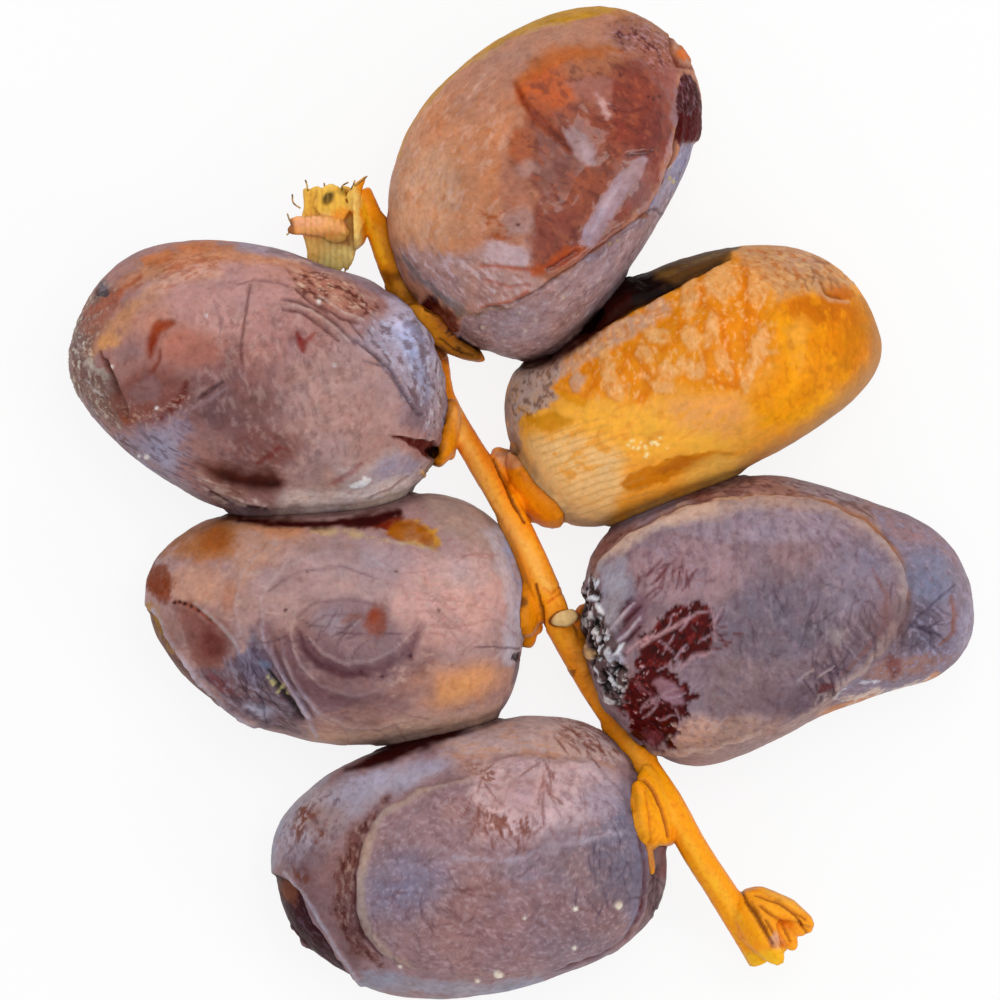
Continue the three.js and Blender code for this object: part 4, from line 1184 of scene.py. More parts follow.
    # The wound, skin gone and dark wet flesh showing, with folds of skin across it
    wound = area(
        (255, 640), (350, 560), (400, 520), (470, 505), (505, 530), (530, 620), (515, 690), (450, 700),
        (380, 700), (350, 745), (385, 800), (425, 845), (458, 850), (405, 905), (372, 930), (388, 1015),
        (330, 1026), (250, 970), (185, 890), (195, 800), (250, 760), (245, 690),
    )
    mark(wound, (84, 14, 12), 1.15, soft=6, ragged=44, sway=1, patchy=0.1, rise=-0.3, wet=0.2, dust=0)
    flecks(wound, (126, 48, 46), 0.6, 0.16, 0.8, -30, 2, 10)
    flecks(wound, (52, 8, 10), 0.8, 0.3, 0.8, 20, 1, 10, -0.1)
    flecks(wound, (186, 148, 156), 0.6, 0.03, 0.9, -30, 2.4, 10, 0.05)
    for path in (
        ((255, 676, 6), (300, 640, 12), (350, 615, 9), (400, 585, 12), (470, 548, 5)),
        ((400, 738, 5), (440, 706, 14), (490, 700, 10), (520, 680, 5)),
        ((215, 690, 6), (260, 650, 8), (300, 628, 5)),
        ((500, 520, 3), (520, 580, 5), (524, 650, 4)),
        ((385, 890, 3), (400, 930, 4), (384, 1000, 3)),
    ):
        crease((178, 140, 148), *path, depth=-0.25, lip=0.1)
    mark(area(
        (290, 800), (330, 780), (400, 830), (420, 880), (370, 880), (330, 850),
    ), (150, 112, 124), 0.9, soft=8, ragged=14, rise=0.3)
    mark(stroke((250, 800, 12), (290, 830, 16), (310, 870, 8)), (140, 88, 98), 0.8, soft=7)
    mark(oval(310, 985, 40, 26, 30), (128, 70, 78), 0.7, soft=10)
    wisps((172, 140, 152), (330, 850), (40, 50), 9, 60, -30, 4, -0.12, 0.8)
    wisps((172, 140, 152), (390, 630), (60, 40), 8, 70, -25, 4, -0.12, 0.8)
    wisps((98, 40, 44), (300, 480), (60, 40), 12, 70, -50, 5)
    wisps((110, 52, 50), (400, 450), (60, 30), 8, 50, -60, 4)
    wisps((94, 34, 36), (550, 640), (20, 60), 8, 40, -10, 4)
    folds = area((150, 540), (215, 480), (290, 520), (280, 600), (220, 660), (160, 650))
    mark(folds, (116, 84, 98), 0.9, soft=14)
    for path in (
        ((160, 640, 8), (210, 580, 14), (260, 530, 8)), ((150, 590, 6), (190, 550, 10), (230, 500, 6)),
        ((170, 690, 6), (220, 640, 10), (262, 600, 6)),
    ):
        crease((72, 30, 36), *path, depth=0.2)
    for path in (
        ((150, 620, 6), (196, 566, 8), (240, 520, 4)), ((160, 670, 8), (215, 624, 9), (262, 570, 4)),
    ):
        crease((190, 176, 190), *path, depth=-0.2, amount=0.8, lip=0)
    # The crushed cap end, with pale flakes painted bright as glints and hollows painted black as shade
    mark(area(
        (120, 380), (205, 360), (250, 460), (205, 540), (150, 640), (120, 560),
    ), (158, 152, 166), 0.88, soft=24, ragged=34)
    crushed = area(
        (30, 480), (80, 405), (120, 430), (124, 540), (168, 640), (205, 710), (220, 790), (190, 890),
        (140, 840), (80, 700), (40, 600),
    )
    mark(crushed, (96, 76, 78), 0.95, soft=8, ragged=22, rise=0.1)
    # Dark pits painted as shade, and pale raised flecks painted as glints
    flecks(crushed, (26, 14, 16), 1.1, 0.36, 0.92, 60, 1, 12, -0.3)
    flecks(crushed, (214, 210, 220), 0.9, 0.2, 0.9, 60, 1.4, 14, 0.12)
    # Painted glints on the raised flakes
    for x, y, wide, tall, turn in (
        (112, 450, 10, 22, 20), (96, 500, 16, 10, 0), (124, 540, 20, 10, 60), (150, 690, 24, 9, 60),
        (186, 668, 26, 7, -50), (156, 858, 22, 12, 40), (84, 560, 8, 16, 0),
    ):
        mark(oval(x, y, wide, tall, turn), (222, 220, 230), 0.95, soft=5, ragged=8, rise=0.12)
    # Painted shade in the hollows
    for x, y, wide, tall in (
        (142, 802, 20, 24), (60, 640, 12, 30), (110, 590, 12, 18), (52, 520, 8, 24), (176, 740, 12, 16),
    ):
        mark(oval(x, y, wide, tall), BLACK, 0.95, soft=6, ragged=5, rise=-0.5)
    mark(oval(92, 692, 36, 20, 20), (206, 166, 124), 0.9, soft=7, rise=0.4)
    mark(oval(190, 704, 30, 14, 20), (176, 168, 184), 0.85, soft=7, rise=0.25)
    # The lobe towards the tip
    lobe = area(
        (1070, 165), (1200, 215), (1330, 262), (1420, 340), (1460, 450), (1455, 590), (1410, 690),
        (1350, 775), (1200, 815), (1000, 880), (940, 860), (1010, 800), (1110, 720), (1195, 620),
        (1235, 480), (1210, 360), (1140, 270),
    )
    mark(lobe, (136, 120, 134), 0.9, soft=8, ragged=6)
    mark(area(
        (1080, 170), (1200, 215), (1330, 262), (1420, 340), (1400, 400), (1300, 320), (1180, 290),
    ), (152, 120, 124), 0.85, soft=20)
    mark(oval(1290, 420, 110, 90, 20), (128, 124, 142), 0.85, soft=44)
    mark(line(50, (1440, 400), (1450, 520), (1410, 660)), (162, 148, 162), 0.8)
    patches(
        (1200, 745, 150, 40, -12, (150, 112, 104), 0.9, 26),
        (1240, 590, 90, 100, 0, (100, 88, 100), 0.8, 34),
        (1160, 745, 26, 34, 0, (116, 64, 62), 0.85, 12),
    )
    flecks(lobe, (100, 68, 76), 0.7, 0.24, 0.6, 40, 1.6, 12)
    flecks(lobe, (170, 158, 178), 0.7, 0.2, 0.5, 40, 1.6, 12)
    wisps((86, 72, 86), (1270, 590), (44, 36), 14, 74, 30, 4, 0.08, 0.55)
    wisps((86, 72, 86), (1236, 640), (36, 26), 10, 64, 110, 3, 0.06, 0.55)
    wisps((150, 142, 162), (1250, 600), (50, 40), 5, 60, 50, 3, -0.04, 0.5)
    for path in (
        ((1190, 640, 3), (1255, 560, 6), (1325, 500, 5), (1385, 446, 2)),
        ((1195, 572, 3), (1240, 600, 6), (1300, 618, 5), (1330, 630, 2)),
    ):
        crease((80, 66, 84), *path, depth=0.1, amount=0.6)
    crease((138, 92, 80), (1366, 490, 6), (1384, 560, 11), (1376, 620, 11), (1330, 660, 6), depth=0.15)
    mark(line(34, (900, 915), (1050, 872), (1200, 832), (1330, 785)), (188, 134, 98), 0.9, soft=9, ragged=5)
    mark(line(8, (960, 876), (1060, 848), (1200, 806), (1300, 776)), (210, 186, 176), 0.8, soft=5)
    mark(line(10, (930, 862), (1000, 826), (1100, 795)), (196, 190, 200), 0.85, soft=6)
    mark(area(
        (380, 1066), (560, 1030), (700, 975), (860, 900), (950, 850), (900, 930), (780, 1020), (600, 1100),
        (400, 1130),
    ), (164, 136, 132), 0.85, soft=12)
    mark(line(20, (250, 1060), (400, 1106), (560, 1096), (700, 1050)), (146, 106, 106), 0.7)
    # Soft veils over the larger patches
    patches(
        (760, 850, 130, 60, 0, (100, 78, 88), 0.5, 42),
        (1150, 600, 60, 110, 0, (112, 86, 92), 0.5, 42),
    )
    return skin.finish(contrast=1.16, tint=(1.05, 1.05, 1.03))


def date_left_lower():
    """The pinkish date on the lower left, with rings like a shell's round a brown spot."""
    skin = fruit_surface("date_left_lower", (166, 132, 132), (BLUE_GREY, (150, 108, 90)), seed=15)
    mark, patches, crease, flecks, wisps = skin.mark, skin.patches, skin.crease, skin.flecks, skin.wisps
    mark(area(
        (380, 150), (640, 165), (660, 240), (480, 320), (400, 400), (370, 300),
    ), (188, 142, 124), 0.85, soft=30)
    mark(area(
        (1050, 40), (1240, 40), (1340, 150), (1400, 300), (1250, 260), (1100, 180),
    ), (168, 142, 136), 0.85, soft=30)
    mark(oval(1160, 420, 230, 160), (196, 152, 148), 0.9, soft=80)
    mark(oval(1220, 340, 120, 60), (188, 158, 158), 0.6, soft=40)
    mark(area(
        (650, 900), (900, 860), (1150, 830), (1330, 800), (1300, 870), (1100, 920), (900, 960), (700, 960),
    ), (196, 158, 142), 0.85, soft=30)
    mark(area(
        (560, 560), (640, 700), (760, 780), (900, 800), (1010, 660), (1080, 600), (1100, 680), (1020, 800),
        (860, 880), (700, 840), (580, 760),
    ), (126, 90, 92), 0.8, soft=36)
    whole = area((100, 250), (400, 130), (1000, 200), (1350, 300), (1350, 700), (1000, 900), (500, 900))
    flecks(whole, (134, 94, 90), 0.7, 0.2, 0.5, 10, 2.4)
    flecks(whole, (208, 178, 172), 0.7, 0.18, 0.4, 10, 2.4)
    # Amber and brown by the tip
    mark(area(
        (130, 268), (220, 190), (300, 150), (390, 130), (410, 180), (370, 260), (330, 310), (260, 300),
        (200, 280),
    ), (168, 106, 56), 0.92, soft=40, ragged=44)
    mark(oval(310, 215, 56, 44, -20), (158, 88, 34), 0.8, soft=20)
    mark(line(24, (120, 262), (230, 180), (390, 128)), (142, 88, 50), 0.8)
    mark(line(40, (420, 160), (520, 176), (600, 180)), (190, 132, 96), 0.7, soft=18)
    mark(oval(240, 380, 120, 70), (188, 142, 126), 0.8, soft=34)
    mark(oval(360, 420, 30, 60, 10), (176, 120, 96), 0.6, soft=20)
    mark(area(
        (56, 340), (92, 296), (136, 320), (154, 370), (136, 430), (104, 440), (66, 400),
    ), (128, 58, 10), 0.97, soft=14, dust=0)
    mark(area(
        (150, 436), (230, 445), (305, 500), (360, 545), (392, 620), (350, 680), (280, 690), (215, 640),
        (180, 550),
    ), (120, 68, 60), 0.88, soft=36, ragged=44)
    mark(oval(300, 590, 60, 40, 40), (106, 54, 52), 0.8, soft=20)
    mark(oval(200, 500, 30, 50, -30), (142, 98, 96), 0.7, soft=16)
    crease((140, 70, 54), (160, 436, 6), (200, 444, 10), (260, 478, 12), (315, 522, 6), depth=0.12)
    for x, y in ((160, 440), (180, 436), (196, 444), (222, 456), (250, 472), (292, 500)):
        skin.speck((48, 26, 26), x, y, 6, -0.05)
    crease(
        (176, 158, 160), (240, 446, 4), (300, 500, 7), (370, 570, 8), (400, 620, 4), depth=-0.12,
        amount=0.7, lip=0,
    )
    # The fold along the lower left and the wall below it
    mark(area(
        (40, 440), (85, 490), (150, 600), (250, 735), (330, 812), (430, 885), (580, 960), (400, 950),
        (200, 850), (60, 650),
    ), (112, 74, 66), 0.93, soft=8, ragged=5, rise=-0.5)
    mark(line(30, (62, 450), (86, 530), (136, 620)), (158, 118, 50), 0.85, soft=12)
    mark(line(20, (150, 600), (200, 670), (250, 720)), (186, 134, 104), 0.8, soft=12)
    mark(line(24, (300, 820), (420, 900), (560, 950)), (112, 92, 104), 0.8, soft=14)
    crease(
        (178, 166, 182), (88, 470, 10), (135, 560, 14), (205, 665, 15), (268, 750, 15), (350, 826, 14),
        (450, 886, 10), depth=-0.25, lip=0.1,
    )
    lower = area(
        (240, 690), (330, 680), (400, 620), (440, 520), (520, 620), (560, 760), (640, 900), (480, 890),
        (330, 800),
    )
    mark(lower, (108, 86, 98), 0.92, soft=20)
    patches(
        (450, 660, 60, 70, 20, (110, 98, 118), 0.8, 24),
        (330, 740, 60, 24, 30, (126, 66, 70), 0.7, 16),
        (470, 826, 60, 22, 30, (168, 158, 174), 0.85, 16),
        (560, 880, 60, 26, 20, (120, 88, 92), 0.8, 16),
    )
    flecks(lower, (74, 50, 60), 0.9, 0.25, 0.5, 60, 2, 14)
    flecks(lower, (160, 148, 164), 0.8, 0.2, 0.36, 60, 2, 14)
    wisps((150, 136, 156), (400, 640), (40, 70), 9, 110, 62, 4, -0.06, 0.5)
    wisps((70, 46, 58), (440, 700), (50, 70), 9, 100, 58, 3, 0.08, 0.6)
    # The slit between two folds, with painted glints in it
    for path in (
        ((470, 520, 4), (490, 600, 8), (550, 690, 9), (600, 780, 9), (650, 860, 9), (672, 920, 5)),
        ((540, 560, 3), (560, 660, 6), (620, 760, 7), (680, 840, 5)),
        ((500, 560, 4), (520, 650, 7), (580, 740, 7), (636, 820, 4)),
    ):
        crease((180, 166, 184), *path, depth=-0.2, lip=0.1)
    crease((84, 62, 78), (520, 600, 4), (556, 690, 8), (620, 790, 8), (660, 850, 4), depth=0.15)
    crease(
        (22, 16, 24), (500, 684, 6), (540, 742, 16), (582, 800, 18), (622, 856, 6), depth=0.4, amount=0.95,
    )
    mark(oval(484, 662, 20, 14), (112, 124, 150), 0.8, soft=8)
    mark(oval(536, 742, 26, 16, 40), (70, 60, 50), 0.8, soft=7)
    # Painted glints in the slit, on small raised specks
    for x, y, radius in (
        (518, 732, 7), (548, 748, 8), (566, 770, 6), (536, 760, 5), (500, 706, 5), (512, 722, 6),
        (574, 752, 4), (556, 734, 5),
    ):
        skin.speck((190, 172, 128), x, y, radius, 0.15)
    # Rings like a shell's, round the brown spot
    patches(
        (740, 280, 220, 70, 5, (172, 142, 144), 0.8, 40),
        (690, 410, 200, 90, 5, (178, 146, 146), 0.7, 44),
        (780, 580, 210, 150, 0, (130, 104, 112), 0.88, 50),
    )
    # Painted shade on the lee side of the rings
    ring_shade = area(
        (470, 490), (590, 560), (640, 680), (720, 756), (900, 790), (870, 850), (700, 836), (570, 740),
        (490, 640),
    )
    mark(ring_shade, (108, 78, 88), 0.75, soft=34, ragged=40)
    mark(oval(720, 510, 60, 40, -20), (154, 136, 148), 0.8, soft=20)
    mark(area(
        (600, 540), (640, 620), (700, 680), (800, 720), (940, 700), (1030, 600), (1040, 520), (990, 600),
        (900, 660), (780, 660), (680, 620),
    ), (96, 62, 74), 0.88, soft=34, ragged=40)
    crease(
        (84, 48, 58), (612, 550, 5), (624, 606, 16), (680, 664, 24), (760, 700, 24), (850, 704, 8),
        depth=0.12, amount=0.85,
    )
    for path, depth in (
        (
            ((640, 560, 4), (690, 622, 8), (770, 658, 10), (860, 656, 9), (940, 616, 8), (1020, 545, 4)),
            -0.15,
        ),
        (((596, 480, 3), (580, 560, 6), (610, 660, 8), (690, 744, 8), (800, 776, 8), (920, 752, 5)), -0.12),
        (((480, 520, 3), (470, 420, 6), (540, 320, 8), (680, 260, 8), (820, 260, 7), (930, 320, 4)), -0.08),
        (((400, 560, 3), (380, 460, 6), (400, 340, 6), (470, 270, 4)), -0.08),
        (((560, 640, 3), (610, 770, 7), (700, 850, 8), (800, 892, 8), (900, 888, 6), (1000, 860, 4)), -0.12),
        (((750, 580, 3), (800, 530, 6), (850, 476, 4)), -0.08),
    ):
        crease((178, 156, 160), *path, depth=depth, amount=0.42, lip=0.1)
    for path in (
        ((600, 500, 4), (650, 450, 7), (750, 430, 8), (850, 440, 7), (940, 470, 4)),
        ((640, 530, 4), (700, 490, 6), (790, 480, 6), (850, 500, 4)),
        ((960, 560, 4), (1000, 620, 8), (960, 690, 8), (880, 720, 4)),
        ((500, 400, 3), (600, 330, 6), (760, 310, 6), (900, 360, 3)),
    ):
        crease((128, 96, 104), *path, depth=0.1, amount=0.6)
    wisps((104, 76, 86), (780, 560), (80, 50), 14, 90, 150)
    mark(oval(885, 502, 46, 50), (136, 74, 58), 0.9, soft=16, ragged=30)
    mark(oval(876, 490, 20, 22), (150, 72, 44), 0.8, soft=10)
    mark(oval(800, 490, 50, 16, -20), (138, 92, 84), 0.7, soft=12)
    for x, y in ((832, 692), (908, 706), (1006, 632), (640, 330), (1112, 470), (960, 330), (560, 470)):
        skin.speck((70, 40, 50), x, y, 6, 0)
    # Warm glow on the lower right, and the pale band before the stalk
    mark(oval(1180, 740, 190, 76, -12), (198, 140, 108), 0.85, soft=70)
    mark(oval(1195, 742, 100, 44, -24), (214, 148, 96), 0.8, soft=54)
    mark(
        line(64, (1310, 200), (1375, 360), (1386, 500), (1370, 640)), (186, 170, 180), 0.85, soft=20,
        dust=0.9,
    )
    mark(line(20, (1350, 250), (1392, 380), (1400, 520)), (168, 162, 190), 0.8, soft=10)
    mark(area(
        (1395, 640), (1440, 600), (1480, 620), (1450, 760), (1380, 840), (1330, 850), (1380, 740),
    ), (104, 88, 98), 0.9, soft=12)
    mark(oval(1415, 628, 34, 16, -20), BLACK, 0.9, soft=8, rise=-0.4)
    crease((92, 62, 68), (1240, 600, 2), (1310, 602, 4), (1396, 606, 4), depth=0.08, amount=0.7)
    lower_edge = area((640, 800), (800, 820), (960, 780), (1100, 700), (1080, 780), (920, 860), (760, 880))
    mark(lower_edge, (140, 112, 118), 0.6, soft=40)
    wisps((156, 110, 106), (1140, 430), (110, 110), 22, 150, 2, 3, 0.03, 0.45)
    wisps((160, 122, 118), (700, 850), (160, 30), 10, 150, 5, 3, 0.05, 0.6)
    # The amber hollow under the next fruit, and the next fruit's painted shadow along the top
    mark(area(
        (780, 158), (880, 128), (975, 118), (985, 170), (940, 205), (860, 180),
    ), (118, 44, 20), 1.0, soft=16, rise=-0.2, dust=0)
    mark(area(
        (915, 196), (950, 150), (1020, 150), (1090, 176), (1110, 210), (1090, 238), (1010, 240),
        (945, 222),
    ), (166, 98, 22), 0.96, soft=9, ragged=12, rise=-0.2, dust=0)
    mark(line(14, (1030, 158), (1090, 184), (1104, 214)), (206, 150, 60), 0.8, soft=7)
    mark(stroke(
        (640, 182, 8), (760, 186, 18), (870, 208, 22), (950, 236, 14), (1080, 246, 6),
    ), (196, 164, 118), 0.7, soft=8)
    # Painted shadow of the next fruit along the top edge
    mark(stroke(
        (340, 134, 12), (470, 154, 24), (700, 162, 28), (860, 150, 38), (970, 116, 20),
    ), (66, 14, 6), 1.2, soft=12, ragged=7, dust=0)
    # Soft veils over the larger patches
    patches(
        (790, 750, 150, 60, 10, (108, 74, 78), 0.5, 42),
        (860, 850, 70, 44, 0, (172, 132, 124), 0.5, 42),
        (620, 380, 80, 70, 0, (150, 118, 120), 0.5, 42),
        (740, 250, 120, 40, 0, (142, 110, 106), 0.5, 42),
        (150, 560, 50, 60, 0, (126, 88, 80), 0.5, 42),
    )
    return skin.finish(contrast=1.2, tint=(1.06, 1.06, 1.01))


def date_bottom():
    """The grey and pink date at the bottom, with a raised round of skin and a dark facet."""
    skin = fruit_surface("date_bottom", (150, 118, 120), ((128, 106, 114), (140, 104, 100)), seed=16)
    mark, patches, crease, flecks, wisps = skin.mark, skin.patches, skin.crease, skin.flecks, skin.wisps
    mark(area(
        (600, 130), (830, 60), (1100, 40), (1220, 100), (1320, 220), (1200, 240), (900, 212), (720, 215),
    ), (192, 160, 154), 0.9, soft=26)
    mark(area(
        (760, 225), (1270, 235), (1300, 330), (1280, 440), (1000, 520), (800, 500), (750, 330),
    ), (202, 168, 168), 0.92, soft=36)
    mark(area(
        (60, 480), (180, 330), (350, 270), (640, 250), (560, 320), (400, 380), (300, 470), (220, 570),
        (100, 620),
    ), (172, 158, 168), 0.9, soft=34)
    mark(area(
        (330, 290), (480, 220), (680, 190), (700, 240), (520, 300), (380, 340),
    ), (174, 162, 178), 0.8, soft=30, ragged=34)
    patches(
        (230, 440, 90, 60, 0, (146, 116, 110), 0.8, 34),
        (860, 770, 280, 130, 0, (148, 112, 112), 0.85, 60),
        (530, 660, 160, 120, 0, (130, 118, 134), 0.8, 64),
        (1150, 900, 160, 80, 0, (138, 116, 124), 0.8, 50),
    )
    mark(area(
        (1170, 500), (1300, 300), (1375, 400), (1380, 720), (1320, 790), (1200, 680),
    ), (114, 108, 126), 0.9, soft=36)
    patches(
        (1000, 600, 160, 40, -8, (138, 124, 134), 0.6, 30),
        (1140, 560, 140, 130, 0, (126, 110, 122), 0.8, 60),
        (1180, 780, 140, 90, -20, (124, 100, 106), 0.7, 60),
        (1230, 360, 70, 80, 10, (156, 136, 146), 0.75, 40),
    )
    # The raised round of skin, tan along its left edge with scaly rust outside it
    plateau = area(
        (730, 280), (600, 320), (490, 375), (405, 450), (360, 540), (345, 640), (348, 750), (385, 840),
        (450, 905), (540, 950), (700, 985), (900, 990), (1100, 950), (1280, 880), (1370, 760), (1385, 620),
        (1350, 470), (1290, 330), (1200, 230), (900, 212),
    )
    flecks(plateau, (116, 82, 88), 0.8, 0.2, 0.4, 20, 1.6)
    flecks(plateau, (190, 164, 170), 0.45, 0.2, 0.35, 20, 1.6)
    mark(plateau, None, rise=0.5, soft=16, ragged=3)
    left = area(
        (90, 600), (230, 500), (320, 600), (290, 760), (330, 880), (400, 980), (330, 970), (220, 800),
        (130, 690),
    )
    mark(left, (128, 94, 94), 0.8, soft=30)
    band = stroke(
        (470, 350, 20), (350, 490, 60), (305, 640, 76), (305, 760, 76), (350, 870, 60), (440, 945, 30),
    )
    mark(band, (112, 68, 62), 0.9, soft=16, ragged=34)
    flecks(band, (160, 126, 118), 0.5, 0.3, 0.75, 80, 2, 20)
    flecks(band, (80, 34, 32), 0.6, 0.25, 0.8, 80, 2, 16)
    mark(stroke(
        (740, 290, 8), (600, 334, 20), (500, 388, 26), (424, 458, 28), (386, 545, 32), (368, 640, 36),
        (370, 742, 34), (402, 832, 30), (460, 896, 22), (540, 940, 12),
    ), (172, 146, 132), 0.85, soft=12, ragged=14, rise=0.12)
    crease(
        (84, 42, 40), (372, 520, 4), (346, 620, 8), (342, 740, 10), (376, 850, 10), (440, 916, 6),
        depth=0.15,
    )
    mark(stroke(
        (700, 560, 8), (860, 580, 16), (1010, 545, 20), (1190, 500, 20), (1330, 470, 10),
    ), (172, 158, 170), 0.7, soft=10, rise=0.1)
    # Rust flecks and cracks over the pink
    rust = (124, 72, 58)
    flecks(area(
        (712, 225), (775, 215), (855, 252), (850, 315), (815, 310), (780, 275), (738, 262),
    ), rust, 0.5, 0.5, 0.9, 30, 2, 16)
    flecks(area((800, 400), (960, 410), (990, 480), (900, 510), (800, 500)), rust, 0.6, 0.4, 0.85, 80, 2, 24)
    flecks(area(
        (1060, 60), (1240, 90), (1320, 210), (1240, 220), (1100, 160),
    ), rust, 0.5, 0.35, 0.8, 50, 2.4, 24)
    flecks(area(
        (620, 150), (900, 80), (1100, 120), (1100, 200), (700, 220),
    ), (190, 142, 112), 0.6, 0.3, 0.6, -5, 4)
    mark(stroke(
        (700, 206, 4), (850, 208, 12), (1000, 204, 14), (1200, 216, 10), (1290, 240, 4),
    ), (178, 128, 106), 0.8, soft=8)
    wisps((120, 64, 52), (790, 360), (10, 60), 8, 90, 84, 4)
    wisps((120, 64, 52), (1020, 330), (10, 60), 9, 90, 96, 4)
    wisps((128, 76, 66), (900, 450), (60, 30), 12, 60, 100, 4)
    wisps((140, 96, 92), (1120, 330), (70, 60), 8, 60, 80, 3, 0.04, 0.5)
    wisps((106, 68, 70), (760, 700), (190, 110), 24, 90, 10, 3, 0.05, 0.5)
    wisps((96, 64, 74), (560, 760), (110, 80), 14, 80, 80, 3, 0.05, 0.5)
    wisps((84, 66, 84), (1230, 600), (60, 80), 16, 70, 70)
    wisps((168, 144, 150), (900, 800), (200, 80), 18, 80, 5, 4, -0.05, 0.3)
    wisps(rust, (1180, 130), (60, 40), 12, 60, 40, 4)
    for x, y, wide, tall, turn in (
        (150, 440, 26, 80, 12), (180, 410, 30, 30, 0), (150, 628, 50, 30, 30), (215, 500, 20, 40, 20),
    ):
        flecks(oval(x, y, wide, tall, turn), (116, 66, 52), 0.7, 0.6, 0.9, 80, 1.5, 16)
    flecks(area(
        (60, 480), (180, 330), (350, 300), (300, 480), (230, 600), (100, 640),
    ), (112, 80, 86), 0.7, 0.25, 0.6, 60, 1.5)
    # The cap end's folds and its wall
    crease(
        (96, 44, 46), (1350, 500, 6), (1372, 610, 11), (1366, 730, 14), (1310, 850, 13), (1200, 920, 8),
        (1050, 965, 5), depth=0.3, amount=0.95,
    )
    mark(line(26, (1330, 480), (1350, 600), (1344, 740), (1290, 840)), (128, 116, 132), 0.8, soft=12)
    mark(area(
        (1385, 520), (1500, 520), (1500, 700), (1430, 830), (1320, 900), (1385, 760),
    ), (122, 96, 96), 0.9, soft=12, ragged=6)
    wisps((84, 60, 64), (1412, 660), (20, 50), 16, 90, 96, 4, 0.12)
    mark(line(30, (1440, 520), (1452, 590), (1450, 620)), (112, 46, 34), 0.85, soft=12)
    mark(line(30, (1250, 110), (1330, 200), (1350, 270)), (70, 56, 62), 0.8, soft=16)
    # The straight ridge at the tip with the dark facet beyond it, and the painted shadow of the fruit above
    facet = area(
        (70, 620), (130, 690), (190, 790), (262, 905), (362, 1040), (280, 1040), (160, 900), (60, 780),
        (20, 660),
    )
    mark(facet, (60, 24, 30), 1.2, soft=6, ragged=4, rise=-0.5, dust=0)
    flecks(facet, (96, 66, 80), 0.7, 0.16, 0.6, 50, 2, 10)
    mark(oval(92, 690, 24, 44, -20), (124, 72, 48), 0.8, soft=16, dust=0)
    crease(
        (168, 156, 164), (92, 622, 5), (160, 700, 7), (232, 820, 8), (300, 930, 8), (376, 1040, 6),
        depth=-0.2, lip=0.1,
    )
    mark(line(
        60, (380, 1010), (500, 1016), (650, 1036), (850, 1046), (1000, 1020),
    ), (152, 146, 158), 0.85, soft=18, dust=0.9)
    mark(line(36, (40, 600), (60, 470), (130, 365), (230, 285)), (160, 156, 168), 0.75)
    # Painted shadow of the fruit above, along the upper left edge
    mark(stroke(
        (310, 252, 12), (400, 222, 40), (500, 182, 54), (640, 128, 52), (840, 72, 18),
    ), (56, 14, 12), 1.2, soft=16, ragged=6, dust=0)
    for x, y, radius in (
        (1278, 730, 13), (855, 972, 15), (785, 1010, 9), (1130, 745, 8), (1125, 880, 8), (950, 780, 6),
        (505, 958, 7),
    ):
        skin.speck((222, 210, 196), x, y, radius)
    # Soft veils over the larger patches
    patches(
        (150, 560, 60, 60, 0, (110, 88, 96), 0.5, 42),
        (1290, 640, 90, 80, 0, (102, 90, 104), 0.5, 42),
        (350, 850, 50, 70, 0, (84, 50, 52), 0.5, 42),
        (950, 350, 90, 60, 0, (172, 132, 132), 0.5, 42),
        (1050, 550, 70, 60, 0, (124, 100, 108), 0.5, 42),
        (760, 250, 60, 40, 0, (182, 142, 128), 0.5, 42),
    )
    return skin.finish(contrast=1.08, tint=(1.02, 1.05, 1.08))


def on_chart(x, y, level):
    """A place in the frame, from the chart over the whole strand and a level in millimetres."""
    left, top = STALK_CORNER
    return Vector((left * MM + x * STALK_STEP, top * MM - y * STALK_STEP, level * MM))


def sheet(form, thickness, *outline):
    """Adds a torn sheet from its corners, each x, y and level."""
    up = Vector((0, 0, thickness * MM / 2))
    top = [form.verts.new(on_chart(*corner) + up) for corner in outline]
    low = [form.verts.new(on_chart(*corner) - up) for corner in outline]
    form.faces.new(top[::-1])
    form.faces.new(low)
    for index in range(len(outline)):
        after = (index + 1) % len(outline)
        form.faces.new((top[index], top[after], low[after], low[index]))


def lumps(form, *rows):
    """Adds oval lumps, each x, y, level, radii in millimetres, turn in plan and dip at its far end."""
    for x, y, level, radii, turn, dip in rows:
        place = Matrix.Translation(on_chart(x, y, level))
        place @= Matrix.Rotation(math.radians(turn), 4, "Z") @ Matrix.Rotation(math.radians(dip), 4, "Y")
        place @= Matrix.Diagonal((*(radius * MM for radius in radii), 1))
        bmesh.ops.create_icosphere(form, subdivisions=LUMP_CUTS, radius=1, matrix=place)


